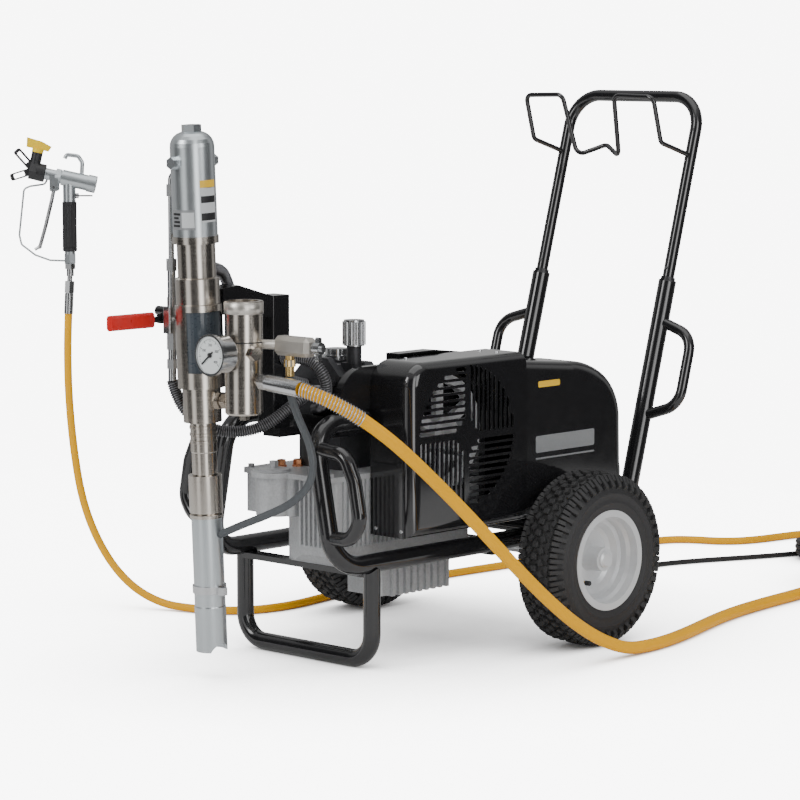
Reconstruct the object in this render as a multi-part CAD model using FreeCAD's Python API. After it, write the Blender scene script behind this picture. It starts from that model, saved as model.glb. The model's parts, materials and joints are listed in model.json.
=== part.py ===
import FreeCAD, Part
import math
import os

# An airless paint sprayer on a two-wheeled cart: a leaning paint pump, a high-pressure filter,
# a belt-driven hydraulic unit under a black cover, a telescopic handle, hoses and a spray gun.
# Everything is built in millimetres in the cart's own frame: X across (mid-plane at 0),
# Y from the pump (-Y) to the handle (+Y), Z up, with the axle above the origin.
# The finished parts are shifted so that the origin is under the middle of their box.

V = FreeCAD.Vector

# ---- driving dimensions ----------------------------------------------------------------
TYRE_RADIUS = 155.0
TRACK_HALF = 276.0          # wheel centre plane from the mid-plane
RIM_RADIUS = 89.0
RIM_HALF_WIDTH = 46.0
AXLE_RADIUS = 10.0
RUNNING_GAP = 0.05
FRAME_TUBE = 16.5           # radius of the side tubes
FRAME_BORE = 14.0
FOOT_TUBE = 15.0
RAIL_HALF = 155.0           # lower rails from the mid-plane
TOP_RAIL_HALF = 104.0       # the uprights lean in towards the top rails
RAIL_Z = 183.0
TOP_RAIL_Z = 422.0
FRONT_Y = -519.0            # plane of the uprights
FOOT_Y = -431.0
INNER_TUBE = 11.0
TUBE_WALL = 2.0
BUTTON_RADIUS = 3.0
LEAN_DEG = 16.0             # handle leans back
OUTER_TOP = (364.0, 616.0)  # y, z of the outer tubes' upper end
HANDLE_TOP_Z = 958.0
PUMP_BASE = (0.0, -658.0, 46.0)
PUMP_LEAN_DEG = 2.5         # pump leans forward
FILTER_XY = (90.0, -666.0)
FILTER_RADIUS = 31.5
PULLEY_CENTRE = (-239.0, 388.0)   # y, z of the large pulley
MOTOR_CENTRE = (62.0, 345.0)
KNOB_XY = (37.0, -352.0)
PUMP_PULLEY_RADIUS = 102.0
MOTOR_PULLEY_RADIUS = 40.8
COVER_INNER_X = 103.0
COVER_OUTER_X = 200.0
COVER_WALL = 3.0
MAIN_HOSE_RADIUS = 11.0
WHIP_HOSE_RADIUS = 7.5
CABLE_RADIUS = 5.0
ARC_SHARE = 0.45            # share of the shorter run that an arc may use
VALVE_XY = (-60.0, -688.0)  # upright axis of the oil line and the ball valve
GUN_BEARING_DEG = 223.4     # the gun's barrel points this way in plan
TRIGGER_PIVOT = (28.0, 126.0)        # ahead of and above the foot of the grip
GUN_BASE = (-758.5, -310.5, 661.0)   # foot of the grip

LEAN = math.radians(LEAN_DEG)
PUMP_LEAN = math.radians(PUMP_LEAN_DEG)
UP = V(0, 0, 1)
NODES = {}


# ---- helpers -------------------------------------------------------------------------
def keep(name, *solids):
    """Store the solids of one named sub-part."""
    NODES[name] = list(solids)


def fused(first, *others):
    """One solid from overlapping ones."""
    return first.multiFuse(list(others)).removeSplitter() if others else first


def rod(start, end, radius):
    """Cylinder between two points."""
    a, b = V(*start), V(*end)
    return Part.makeCylinder(radius, (b - a).Length, a, b - a)


def ring(start, end, outer, inner):
    """Tube between two points."""
    return rod(start, end, outer).cut(rod(start, end, inner))


def block(low, high, fillet=0.0, direction=None):
    """Box between two corners, with rounded edges, or only those along one direction."""
    size = [h - l for l, h in zip(low, high)]
    body = Part.makeBox(*size, V(*low))
    if not fillet:
        return body
    edges = body.Edges
    if direction is not None:
        along = V(*direction)
        edges = [e for e in edges if abs(e.tangentAt(e.FirstParameter).dot(along)) > 0.99]
    return body.makeFillet(fillet, edges)


def turned(profile, base, axis):
    """Solid of revolution from (radius, height) points, put on an axis."""
    points = [V(r, 0, h) for r, h in profile]
    face = Part.Face(Part.makePolygon(points + [points[0]]))
    body = face.revolve(V(0, 0, 0), UP, 360)
    body.Placement = FreeCAD.Placement(V(*base), FreeCAD.Rotation(UP, V(*axis)))
    return body


def hexagon(base, axis, across_flats, height, sides=6):
    """Hexagonal (or other regular) prism standing on a point along an axis."""
    corner = across_flats / 2 / math.cos(math.pi / sides)
    angles = [2 * math.pi * (i + 0.5) / sides for i in range(sides + 1)]
    points = [V(corner * math.cos(a), corner * math.sin(a), 0) for a in angles]
    body = Part.Face(Part.makePolygon(points)).extrude(V(0, 0, height))
    body.Placement = FreeCAD.Placement(V(*base), FreeCAD.Rotation(UP, V(*axis)))
    return body


def plate(outline, low_x, high_x):
    """Plate across X from an outline of (y, z) points; an item ("arc", via, end) is an arc."""
    edges = []
    here = V(low_x, *outline[0])
    for item in outline[1:] + [outline[0]]:
        if item[0] == "arc":
            there = V(low_x, *item[2])
            edges.append(Part.Arc(here, V(low_x, *item[1]), there).toShape())
        else:
            there = V(low_x, *item)
            if there.distanceToPoint(here) < 1e-6:
                continue
            edges.append(Part.LineSegment(here, there).toShape())
        here = there
    return Part.Face(Part.Wire(edges)).extrude(V(high_x - low_x, 0, 0))


def rounded_path(points, bend=None):
    """Straight runs joined by tangent arcs: the wire and its arc radii."""
    corners = [V(*p) for p in points]
    edges, radii = [], []
    here = corners[0]
    for before, corner, after in zip(corners, corners[1:], corners[2:]):
        into = (corner - before).normalize()
        out = (after - corner).normalize()
        half = into.getAngle(out) / 2
        run = min(before.distanceToPoint(corner), corner.distanceToPoint(after))
        radius = ARC_SHARE * run / math.tan(half)
        if bend is not None:
            radius = min(bend, radius)
        cut = radius * math.tan(half)
        first, last = corner - into * cut, corner + out * cut
        middle = corner + (out - into).normalize() * (radius / math.cos(half) - radius)
        edges.append(Part.LineSegment(here, first).toShape())
        edges.append(Part.Arc(first, middle, last).toShape())
        radii.append(radius)
        here = last
    edges.append(Part.LineSegment(here, corners[-1]).toShape())
    return Part.Wire(edges), radii


def tube(points, radius, bend=None, bore=None):
    """Bent round bar, or a tube if it has a bore."""
    path, _ = rounded_path(points, bend)
    start = V(*points[0])
    heading = V(*points[1]) - start

    def swept(r):
        profile = Part.Wire([Part.Circle(start, heading, r).toShape()])
        return path.makePipeShell([profile], True, False)

    return swept(radius).cut(swept(bore)) if bore else swept(radius)


def cord(name, routes, radius):
    """Hose or cable along its routes; prints each length, tightest arcs and volume check."""
    bodies = []
    for points in routes:
        path, radii = rounded_path(points)
        bodies.append(tube(points, radius))
        expected = path.Length * math.pi * radius ** 2
        print("%-12s length %.0f mm, radii %s, volume ratio %.4f" % (
            name, path.Length, [round(r) for r in sorted(radii)[:5]],
            bodies[-1].Volume / expected))
    keep(name, *bodies)


# ---- cart frame -----------------------------------------------------------------------
def lean_point(x, along):
    """Point on a handle tube, measured along it from the outer tube's upper end."""
    y, z = OUTER_TOP
    return (x, y + along * math.sin(LEAN), z + along * math.cos(LEAN))


def side_tube(side):
    """One side of the cart: top rail, upright, lower rail and handle sleeve, bent from one tube."""
    low = side * RAIL_HALF
    heel_y = OUTER_TOP[0] - (OUTER_TOP[1] - RAIL_Z) * math.tan(LEAN)
    return tube([(side * TOP_RAIL_HALF, -395, TOP_RAIL_Z), (side * TOP_RAIL_HALF, FRONT_Y, TOP_RAIL_Z),
                 (low - side * 4, FRONT_Y, RAIL_Z), (low, heel_y, RAIL_Z), lean_point(low, 0)],
                FRAME_TUBE, 60, FRAME_BORE)


def make_frame():
    """Two bent side tubes with their carry loops, and what joins them across the cart."""
    sides = []
    for side, word in ((-1, "left"), (1, "right")):
        main_tube = side_tube(side)
        front_loop = tube([(side * 124, FRONT_Y, 384), (side * 178, FRONT_Y, 380),
                           (side * 200, FRONT_Y, 336), (side * 213, FRONT_Y, 270),
                           (side * 192, FRONT_Y, 238), (side * 154, FRONT_Y, 236)], 12.5, 34)
        low = side * RAIL_HALF
        rear_loop = tube([lean_point(low + side * 15, -78), lean_point(low + side * 80, -98),
                          lean_point(low + side * 80, -228), lean_point(low + side * 15, -250)],
                         10, 42)
        keep("side_tube_" + word, fused(main_tube, front_loop, rear_loop))
        sides.append(rod((low, FOOT_Y - 70, RAIL_Z), (low, 200, RAIL_Z), FRAME_TUBE))
        sides.append(rod((side * TOP_RAIL_HALF, FRONT_Y + 50, TOP_RAIL_Z),
                         (side * TOP_RAIL_HALF, -380, TOP_RAIL_Z), FRAME_TUBE))
    rails = Part.makeCompound(sides)
    shelf = fused(block((-58, -466, 396), (95, -410, 412)), block((-14, -522, 396), (26, -460, 412)),
                  block((-TOP_RAIL_HALF, -434, 404), (TOP_RAIL_HALF, -416, 426)))
    cross_bar = rod((-RAIL_HALF, 42, RAIL_Z), (RAIL_HALF, 42, RAIL_Z), 10)
    tank_bars = [block((-RAIL_HALF, y, 160), (RAIL_HALF, y + 30, 170)) for y in (-445, -125)]
    motor_base = block((-RAIL_HALF, 6, 196), (RAIL_HALF, 118, 203))
    hub_hole = rod((-200, 0, TYRE_RADIUS), (200, 0, TYRE_RADIUS), AXLE_RADIUS)
    saddles = [block((side * RAIL_HALF - 4, -18, 139), (side * RAIL_HALF + 4, 18, RAIL_Z)).cut(hub_hole)
               for side in (-1, 1)]
    loop = tube([(-RAIL_HALF, FOOT_Y, RAIL_Z), (-RAIL_HALF, FOOT_Y, FOOT_TUBE),
                 (RAIL_HALF, FOOT_Y, FOOT_TUBE), (RAIL_HALF, FOOT_Y, RAIL_Z)], FOOT_TUBE, 46)
    loop = loop.cut(rails)
    members = [m.cut(rails).cut(loop) for m in
               [shelf, cross_bar, motor_base] + tank_bars + saddles]
    keep("cross_members", *[max(m.Solids, key=lambda solid: solid.Volume) for m in members])
    keep("foot_loop", loop)


def make_handle():
    """Sleeve-end bushings, the sliding bow with its two lock buttons, and the hose rack."""
    bushings = []
    top = (HANDLE_TOP_Z - OUTER_TOP[1]) / math.cos(LEAN)
    bow = tube([lean_point(-RAIL_HALF, -70), lean_point(-RAIL_HALF, top),
                lean_point(RAIL_HALF, top), lean_point(RAIL_HALF, -70)],
               INNER_TUBE, 62, INNER_TUBE - TUBE_WALL)
    front = V(0, -math.cos(LEAN), math.sin(LEAN))
    for side, word in ((-1, "left"), (1, "right")):
        x = side * RAIL_HALF
        insert = fused(rod(lean_point(x, -30), lean_point(x, 1), FRAME_BORE),
                       rod(lean_point(x, 0), lean_point(x, 3), FRAME_TUBE),
                       rod(lean_point(x, 2), lean_point(x, 9), 13.5))
        insert = insert.cut(rod(lean_point(x, -31), lean_point(x, 10), INNER_TUBE + RUNNING_GAP))
        keyway = Part.makeBox(BUTTON_RADIUS * 2 + 1, 20, 60, V(x - BUTTON_RADIUS - 0.5, -20, -40))
        keyway.rotate(V(x, 0, 0), V(1, 0, 0), -LEAN_DEG)
        keyway.translate(V(0, *lean_point(x, 0)[1:]))
        bushings.append(insert.cut(keyway))
        at = V(*lean_point(x, 26))
        bow = bow.cut(Part.makeCylinder(BUTTON_RADIUS + RUNNING_GAP, INNER_TUBE + 2, at, front))
        button = Part.makeCylinder(BUTTON_RADIUS, 7.6, at + front * 6, front)
        button_flange = Part.makeCylinder(BUTTON_RADIUS + 1.4, 2, at + front * 4.5, front)
        keep("lock_button_" + word, fused(button, button_flange))
    keep("handle_bushings", *bushings)
    keep("handle_bow", bow)
    attach = lean_point(RAIL_HALF, 245)
    rack = [(RAIL_HALF, attach[1] - INNER_TUBE + 1.0, attach[2]), (155, 341, 876),
            (155, 317, 960), (63, 315, 962), (51, 346, 847), (0, 371, 868)]
    rack = rack + [(-x, y, z) for x, y, z in reversed(rack[:-1])]
    solid_bow = tube([lean_point(-RAIL_HALF, 100), lean_point(-RAIL_HALF, top),
                      lean_point(RAIL_HALF, top), lean_point(RAIL_HALF, 100)], INNER_TUBE, 62)
    keep("hose_rack", tube(rack, 4.5, 14).cut(solid_bow))


# ---- wheels ---------------------------------------------------------------------------
def make_wheels():
    """Pneumatic tyres on dished rims, each turning on the fixed axle."""
    end = TRACK_HALF + 33
    keep("axle", rod((-end, 0, TYRE_RADIUS), (end, 0, TYRE_RADIUS), AXLE_RADIUS))
    half, seat = RIM_HALF_WIDTH, RIM_RADIUS - 9
    bore = AXLE_RADIUS + RUNNING_GAP
    rim_profile = [(bore, -30), (21, -30), (21, -5), (52, -9), (60, -4), (66, 6), (72, 8),
                   (76, -30), (77, -half), (RIM_RADIUS, -half), (RIM_RADIUS, -43),
                   (seat, -43), (seat, -26), (76, 12), (76, 22), (seat, 28), (seat, 43),
                   (RIM_RADIUS, 43), (RIM_RADIUS, half), (77, half), (76.5, 30), (72, 24),
                   (72, 12), (64, 10), (57, 0), (50, -5), (24, -1), (21, 4), (21, 34), (bore, 34)]
    for side, word in ((-1, "left"), (1, "right")):
        centre = V(side * TRACK_HALF, 0, TYRE_RADIUS)
        outward = V(side, 0, 0)
        rim = turned(rim_profile, centre, outward)
        cap = turned([(0, 34), (15, 34), (15, 37), (11, 40), (0, 40)], centre, outward)
        valve_foot = centre + outward * -4 + V(0, -38, -38)
        valve = Part.makeCylinder(3.2, 30, valve_foot, outward + V(0, -0.25, -0.25))
        keep("rim_" + word, rim, cap, valve.cut(rim))
        outer = [V(r, 0, x) for r, x in ((seat, -42.5), (113, -48), (146, -39), (155, 0),
                                         (146, 39), (113, 48), (seat, 42.5))]
        inner = [V(r, 0, x) for r, x in ((seat, 33), (113, 38.5), (137, 31), (145, 0),
                                         (137, -31), (113, -38.5), (seat, -33))]
        edges = []
        for line in (outer, inner):
            edges += [Part.Arc(*line[i:i + 3]).toShape() for i in (0, 2, 4)]
        edges += [Part.LineSegment(outer[-1], inner[0]).toShape(),
                  Part.LineSegment(inner[-1], outer[0]).toShape()]
        tyre = Part.Face(Part.Wire(Part.__sortEdges__(edges))).revolve(V(0, 0, 0), UP, 360)
        tyre.Placement = FreeCAD.Placement(centre, FreeCAD.Rotation(UP, outward))
        keep("tyre_" + word, tyre)


# ---- hydraulic unit -------------------------------------------------------------------
def make_tank():
    """Cast oil tank with ribs, its lid, and the finned sump between the rails."""
    top, neck_low, front, floor = 319.0, 252.0, -462.0, 170.0
    corners = [V(x, y, floor) for x, y in ((98, -120), (98, front), (20, front), (-40, -436),
                                           (-98, -374), (-98, -120), (98, -120))]
    body = Part.Face(Part.makePolygon(corners)).extrude(V(0, 0, top - floor))
    slope = [e for e in body.Edges if abs(e.tangentAt(e.FirstParameter).x) > 0.99
             and e.CenterOfMass.z < floor + 1 and e.CenterOfMass.y < front + 1]
    body = body.makeChamfer(18, slope)
    body = body.makeFillet(8, [e for e in body.Edges
                               if abs(e.tangentAt(e.FirstParameter).z) > 0.99])
    neck = fused(block((-108, front - 14, neck_low), (8, front + 40, top), 10, (0, 0, 1)),
                 block((-98, front + 20, neck_low), (20, -300, top)),
                 rod((-38, front - 8, neck_low), (-38, front - 8, top), 34))
    ribs = [block((x, front - 5, 204), (x + 4, front + 10, top)) for x in range(16, 92, 11)]
    for i in range(29):
        y = front + 18 + i * 10.8
        low = (neck_low if y < -374 else 204, 204)
        ribs += [block((side * 99.5 - 3.5, y, low[(side + 1) // 2]), (side * 99.5 + 3.5, y + 4, top))
                 for side in (-1, 1)]
    keep("tank_body", fused(body, neck, *ribs))
    lid = fused(block((-112, front - 18, top), (102, -112, top + 9), 10, (0, 0, 1)),
                rod((-38, front - 10, top), (-38, front - 10, top + 9), 40),
                rod((-38, front - 10, top + 9), (-38, front - 10, top + 13), 27))
    screws = [hexagon((x, y, top + 9), (0, 0, 1), 10, 6)
              for x in (-102, 92) for y in (front - 4, -300, -124)]
    plug = hexagon((-46, front - 4, top + 13), (0, 0, 1), 14, 12)
    keep("tank_lid", fused(lid, plug, *screws))
    sump_x, sump_y = (-10, 80), (-324, -153)
    sump = block((sump_x[0], sump_y[0], 102), (sump_x[1] - 6, sump_y[1], floor), 5, (0, 0, 1))
    fins = []
    for i in range(9):
        y = sump_y[0] + 22 + i * 17.4
        fins.append(block((sump_x[0] - 6, y, 100), (sump_x[1], y + 8, 160)))
    foot = rod((34, -240, 94), (34, -240, 104), 12)
    keep("sump", fused(sump, foot, *fins))


def make_manifold():
    """Hydraulic valve block with knob and filler cap, and the belt-driven hydraulic pump."""
    low = 328.0
    body = chamfered(block((-56, -394, low), (44, -290, 508)), 24)
    flange = chamfered(block((-56, -406, 392), (54, -392, 522)), 30)
    face = rod((-2, -413, 450), (-2, -404, 450), 38)
    bolts = [hexagon((-1 + 44 * c, -405, 446 + 34 * s), (0, -1, 0), 10, 7)
             for c in (-1, 1) for s in (-1, 1)]
    neck = rod((-25, -332, 500), (-25, -332, 512), 25)
    neck = neck.cut(rod((-25, -332, 480), (-25, -332, 513), 16))
    body = body.cut(rod((-25, -332, 400), (-25, -332, 520), 16))
    kx, ky = KNOB_XY
    collar = fused(block((kx - 16, ky - 16, 470), (kx + 10, ky + 16, 512)),
                   rod((kx, ky, 503), (kx, ky, 540), 13))
    knob_bore = rod((kx, ky, 500), (kx, ky, 541), 5 + RUNNING_GAP)
    unit = fused(body, flange, face, neck, collar, *bolts).cut(knob_bore)
    pump_y, pump_z = PULLEY_CENTRE
    pump = ring((-64, pump_y, pump_z), (88, pump_y, pump_z), 43.5, 12 + RUNNING_GAP)
    pump_foot = block((-50, pump_y - 30, low), (60, pump_y + 30, 356), 3, (0, 0, 1))
    pump_bore = rod((-70, pump_y, pump_z), (90, pump_y, pump_z), 12 + RUNNING_GAP)
    keep("hydraulic_pump", fused(pump, pump_foot).cut(pump_bore))
    keep("valve_block", unit)
    cap = fused(rod((-25, -332, 512), (-25, -332, 520), 26), rod((-25, -332, 520), (-25, -332, 531), 21),
                rod((-25, -332, 500), (-25, -332, 512), 16 - RUNNING_GAP),
                rod((-25, -332, 410), (-25, -332, 500), 3))
    keep("filler_cap", cap)
    ridges = [(kx + 18 * math.cos(a), ky + 18 * math.sin(a))
              for a in [2 * math.pi * i / 12 for i in range(12)]]
    knob = fused(rod((kx, ky, 541), (kx, ky, 586), 18),
                 *[rod((x, y, 543), (x, y, 583), 3) for x, y in ridges])
    keep("pressure_knob", fused(knob, rod((kx, ky, 506), (kx, ky, 542), 5)))


def chamfered(body, size):
    """Block with its two upper edges along Y cut off."""
    edges = [e for e in body.Edges if abs(e.tangentAt(e.FirstParameter).y) > 0.99
             and e.CenterOfMass.z > 460]
    return body.makeChamfer(size, edges)


def make_motor():
    """Finned electric motor with its fan cowl and terminal box, lying across the cart."""
    y, z = MOTOR_CENTRE
    body = ring((-150, y, z), (88, y, z), 84, 13)
    fins = []
    for i in range(24):
        a = 2 * math.pi * i / 24
        fin = block((-140, -1.6, 80), (70, 1.6, 95))
        fin.rotate(V(0, 0, 0), V(1, 0, 0), math.degrees(a))
        fin.translate(V(0, y, z))
        fins.append(fin)
    cowl = ring((-196, y, z), (-146, y, z), 93, 60)
    grid = rod((-190, y, z), (-186, y, z), 62)
    feet = block((-120, y - 50, 203), (60, y + 50, 270), 4, (0, 0, 1))
    feet = feet.cut(block((-125, y - 30, 195), (65, y + 30, 240)))
    shaft_bore = rod((-146, y, z), (90, y, z), 13)
    box = block((-70, y + 20, 424), (30, y + 90, 470), 6, (0, 0, 1))
    gland = rod((-20, y + 86, 446), (-20, y + 112, 446), 11)
    body = fused(body, cowl, grid, feet, *fins).cut(shaft_bore)
    box = fused(box, gland)
    keep("motor_body", body, box.cut(body))


def make_belt_drive():
    """Small motor pulley, large spoked pulley, and the belt round both."""
    y, z = MOTOR_CENTRE
    small = turned([(0, -8), (34, -8), (42, -8), (42, -5), (37, 0), (42, 5), (42, 8), (0, 8)],
                   (128, y, z), (1, 0, 0))
    keep("motor_rotor", fused(rod((-140, y, z), (140, y, z), 13 - RUNNING_GAP), small))
    y, z = PULLEY_CENTRE
    outer = PUMP_PULLEY_RADIUS
    rim = turned([(86, -9), (outer, -9), (outer, -6), (outer - 6, 0), (outer, 6),
                  (outer, 9), (86, 9)], (128, y, z), (1, 0, 0))
    hub = rod((112, y, z), (150, y, z), 30)
    spokes = []
    for i in range(6):
        spoke = block((122, -9, 24), (134, 9, 90))
        spoke.rotate(V(0, 0, 0), V(1, 0, 0), 60 * i)
        spoke.translate(V(0, y, z))
        spokes.append(spoke)
    shaft = rod((-60, y, z), (154, y, z), 12)
    keep("pump_pulley", fused(rim, hub, shaft, *spokes))
    keep("drive_belt", belt_loop())


def belt_loop():
    """Closed loop of belt outside the two pulleys, on their common tangents."""
    (y1, z1), (y2, z2) = PULLEY_CENTRE, MOTOR_CENTRE
    apart = math.hypot(y2 - y1, z2 - z1)
    slope = math.atan2(z2 - z1, y2 - y1)

    def outline(r1, r2):
        lean = math.acos((r1 - r2) / apart)
        ends = []
        for sign in (1, -1):
            a = slope + sign * lean
            ends.append((V(0, y1 + r1 * math.cos(a), z1 + r1 * math.sin(a)),
                         V(0, y2 + r2 * math.cos(a), z2 + r2 * math.sin(a))))
        back = V(0, y1 - r1 * math.cos(slope), z1 - r1 * math.sin(slope))
        front = V(0, y2 + r2 * math.cos(slope), z2 + r2 * math.sin(slope))
        (top1, top2), (low1, low2) = ends
        edges = [Part.LineSegment(top1, top2).toShape(), Part.Arc(top2, front, low2).toShape(),
                 Part.LineSegment(low2, low1).toShape(), Part.Arc(low1, back, top1).toShape()]
        return Part.Face(Part.Wire(edges)).extrude(V(10, 0, 0))

    gap = 0.4
    inner = outline(PUMP_PULLEY_RADIUS + gap, MOTOR_PULLEY_RADIUS + 1.2 + gap)
    loop = outline(PUMP_PULLEY_RADIUS + 5, MOTOR_PULLEY_RADIUS + 6.2).cut(inner)
    loop.translate(V(123, 0, 0))
    return loop


# ---- belt cover -----------------------------------------------------------------------
def slot(y_low, y_high, z_low, z_high):
    """Cutter for one grille slot through the cover's outer wall."""
    radius = min(y_high - y_low, z_high - z_low) / 2 - 0.1
    return block((COVER_OUTER_X - 14, y_low, z_low), (COVER_OUTER_X + 14, y_high, z_high),
                 radius, (1, 0, 0))


def grille_slots():
    """Slots of the round fan grille: level ones left and right, upright ones in two corners."""
    y0, z0 = PULLEY_CENTRE
    radius, boss, pitch, wide = 123.0, 24.0, 11.6, 7.0
    cutters = []
    steps = int(radius / pitch)
    for i in range(-steps, steps + 1):
        offset = i * pitch
        chord = math.sqrt(radius ** 2 - (abs(offset) + wide / 2) ** 2)
        hole = math.sqrt(max(0.0, boss ** 2 - offset ** 2)) + 4
        row = (z0 + offset - wide / 2, z0 + offset + wide / 2)
        column = (y0 + offset - wide / 2, y0 + offset + wide / 2)
        if i > 0:
            cutters += [slot(y0 - chord, y0 - hole, *row), slot(*column, z0 + hole, z0 + chord)]
        elif i < 0:
            cutters += [slot(y0 + hole, y0 + chord, *row), slot(*column, z0 - chord, z0 - hole)]
    return cutters


def make_cover():
    """Two-piece belt cover, and the back plate that carries it."""
    low, high = 222.0, 521.0
    x_in, x_out, wall = COVER_INNER_X, COVER_OUTER_X, COVER_WALL

    def front_outline(inset):
        i = inset
        return [(-380 + i, low + i), (-86, low + i), (-86, high - i), (-335 + i, high - i),
                ("arc", (-372 + i, high - 18 - i), (-380 + i, high - 46 - i))]

    def shell(outline_at, round_x):
        outer = plate(outline_at(0), x_in, x_out)
        edges = [e for e in outer.Edges if e.CenterOfMass.x > x_out - 1 and not is_seam(e)]
        outer = outer.makeFillet(round_x, edges)
        inner = plate(outline_at(wall), x_in - 1, x_out - wall)
        edges = [e for e in inner.Edges if e.CenterOfMass.x > x_out - wall - 1 and not is_seam(e)]
        return outer.cut(inner.makeFillet(round_x - wall, edges))

    def is_seam(edge):
        return edge.BoundBox.YLength < 0.5 and abs(edge.CenterOfMass.y + 85.7) < 1

    front = shell(front_outline, 22)
    keep("belt_cover_front", front.cut(Part.makeCompound(grille_slots())))

    def rear_outline(inset):
        i = inset
        return [(-85.4, low + i), (148 - i, low + i),
                ("arc", (178 - i, 245 + i), (188 - i, 300)), (186 - i, 375),
                ("arc", (172 - i, 432 - i), (127 - i * 0.7, 474 - i)),
                ("arc", (95, 487 - i), (45, 494 - i)), (-85.4, 506 - i)]

    keep("belt_cover_rear", shell(rear_outline, 24))
    plate_in, plate_out = 88.0, COVER_INNER_X - 0.4
    back = plate([(-455, 400), (-86, 400), (-86, 214), (150, 214), (180, 250), (180, 380),
                  ("arc", (164, 442), (118, 480)), (-80, 512), (-330, 512), (-392, 512),
                  ("arc", (-438, 493), (-455, 446))], plate_in, plate_out)
    for (y, z), radius in ((PULLEY_CENTRE, 34), (MOTOR_CENTRE, 26)):
        back = back.cut(rod((plate_in - 1, y, z), (plate_out + 1, y, z), radius))
    back = back.cut(rod((TOP_RAIL_HALF, FRONT_Y, TOP_RAIL_Z), (TOP_RAIL_HALF, -380, TOP_RAIL_Z),
                        FRAME_TUBE))
    hood_in = 58.0
    hood = plate([(-294, 470), (-190, 470), (45, 466), (51, 496), (-200, 526), (-294, 526)],
                 hood_in, plate_in)
    hollow = plate([(-291, 460), (-190, 460), (42, 456), (48, 492), (-200, 523), (-291, 523)],
                   hood_in + 3, plate_in + 1)
    keep("back_plate", back, hood.cut(hollow))


# ---- paint pump -----------------------------------------------------------------------
def pump_point(height, x=0.0, y=0.0):
    """Point on the leaning pump axis at a height along it, with sideways offsets."""
    bx, by, bz = PUMP_BASE
    return (bx + x, by + y * math.cos(PUMP_LEAN) - height * math.sin(PUMP_LEAN),
            bz + y * math.sin(PUMP_LEAN) + height * math.cos(PUMP_LEAN))


PUMP_AXIS = (0, -math.sin(PUMP_LEAN), math.cos(PUMP_LEAN))


def pump_turned(profile):
    return turned(profile, PUMP_BASE, PUMP_AXIS)


def make_paint_pump():
    """Hydraulic motor, pump housing with its window, fluid section, suction tube and rod."""
    shoulder = [(12 + 25 * math.cos(a), 847 + 25 * math.sin(a)) for a in
                [math.radians(d) for d in range(0, 91, 15)]]
    dome = pump_turned([(0, 700), (37, 700)] + shoulder + [(0, 872)])
    knob = hexagon(pump_point(871), PUMP_AXIS, 30, 12)
    plugs = [hexagon(pump_point(822, 0, side * 34), (0, side, 0), 18, 16) for side in (-1, 1)]
    keep("hydraulic_motor", fused(dome, knob, *plugs))
    housing = pump_turned([(24, 448), (39.5, 448), (39.5, 587), (37, 588), (37, 630), (32, 632),
                           (32, 688), (38.5, 688), (38.5, 700), (24, 700)])
    window = block((10, -60, 475), (70, 24, 576), 12, (1, 0, 0))
    window.Placement = FreeCAD.Placement(
        V(*PUMP_BASE), FreeCAD.Rotation(UP, V(*PUMP_AXIS))).multiply(window.Placement)
    window.rotate(V(*PUMP_BASE), V(*PUMP_AXIS), -2)
    keep("pump_housing", housing.cut(window))
    rod_body = pump_turned([(0, 395), (11, 395), (11, 470), (19, 472), (19, 520), (11, 522),
                            (11, 660), (0, 660)])
    keep("piston_rod", rod_body)
    fluid = pump_turned([(11 + RUNNING_GAP, 292), (21, 292), (21, 338), (22, 340), (22, 388),
                         (32, 390), (32, 448), (11 + RUNNING_GAP, 448)])
    collar = pump_turned([(19, 228), (28, 228), (28, 233), (26, 235), (28, 237), (28, 300),
                          (19, 300)])
    keep("fluid_section", fused(fluid, collar))
    tube_body = pump_turned([(22.5, 0), (26.5, 0), (26.5, 76), (26, 78), (26, 228), (19, 228),
                             (19, 222), (22.5, 222)])
    notch = rod(pump_point(-6, -60, 0), pump_point(-6, 60, 0), 20)
    keep("suction_tube", tube_body.cut(notch))


def make_bracket():
    """Black bracket that holds the pump on the frame shelf."""
    column = block((-20, -530, 412), (20, -490, 637), 3, (0, 0, 1))
    arm = plate([(-500, 600), (-530, 600), (-600, 612), (-645, 612), (-645, 655), (-610, 660),
                 (-530, 637), (-500, 637)], -19, 19)
    socket = pump_turned([(0, 520), (39.5, 520), (39.5, 587), (37, 588), (37, 630), (0, 630)])
    keep("pump_bracket", fused(column, arm.cut(socket)))


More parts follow.
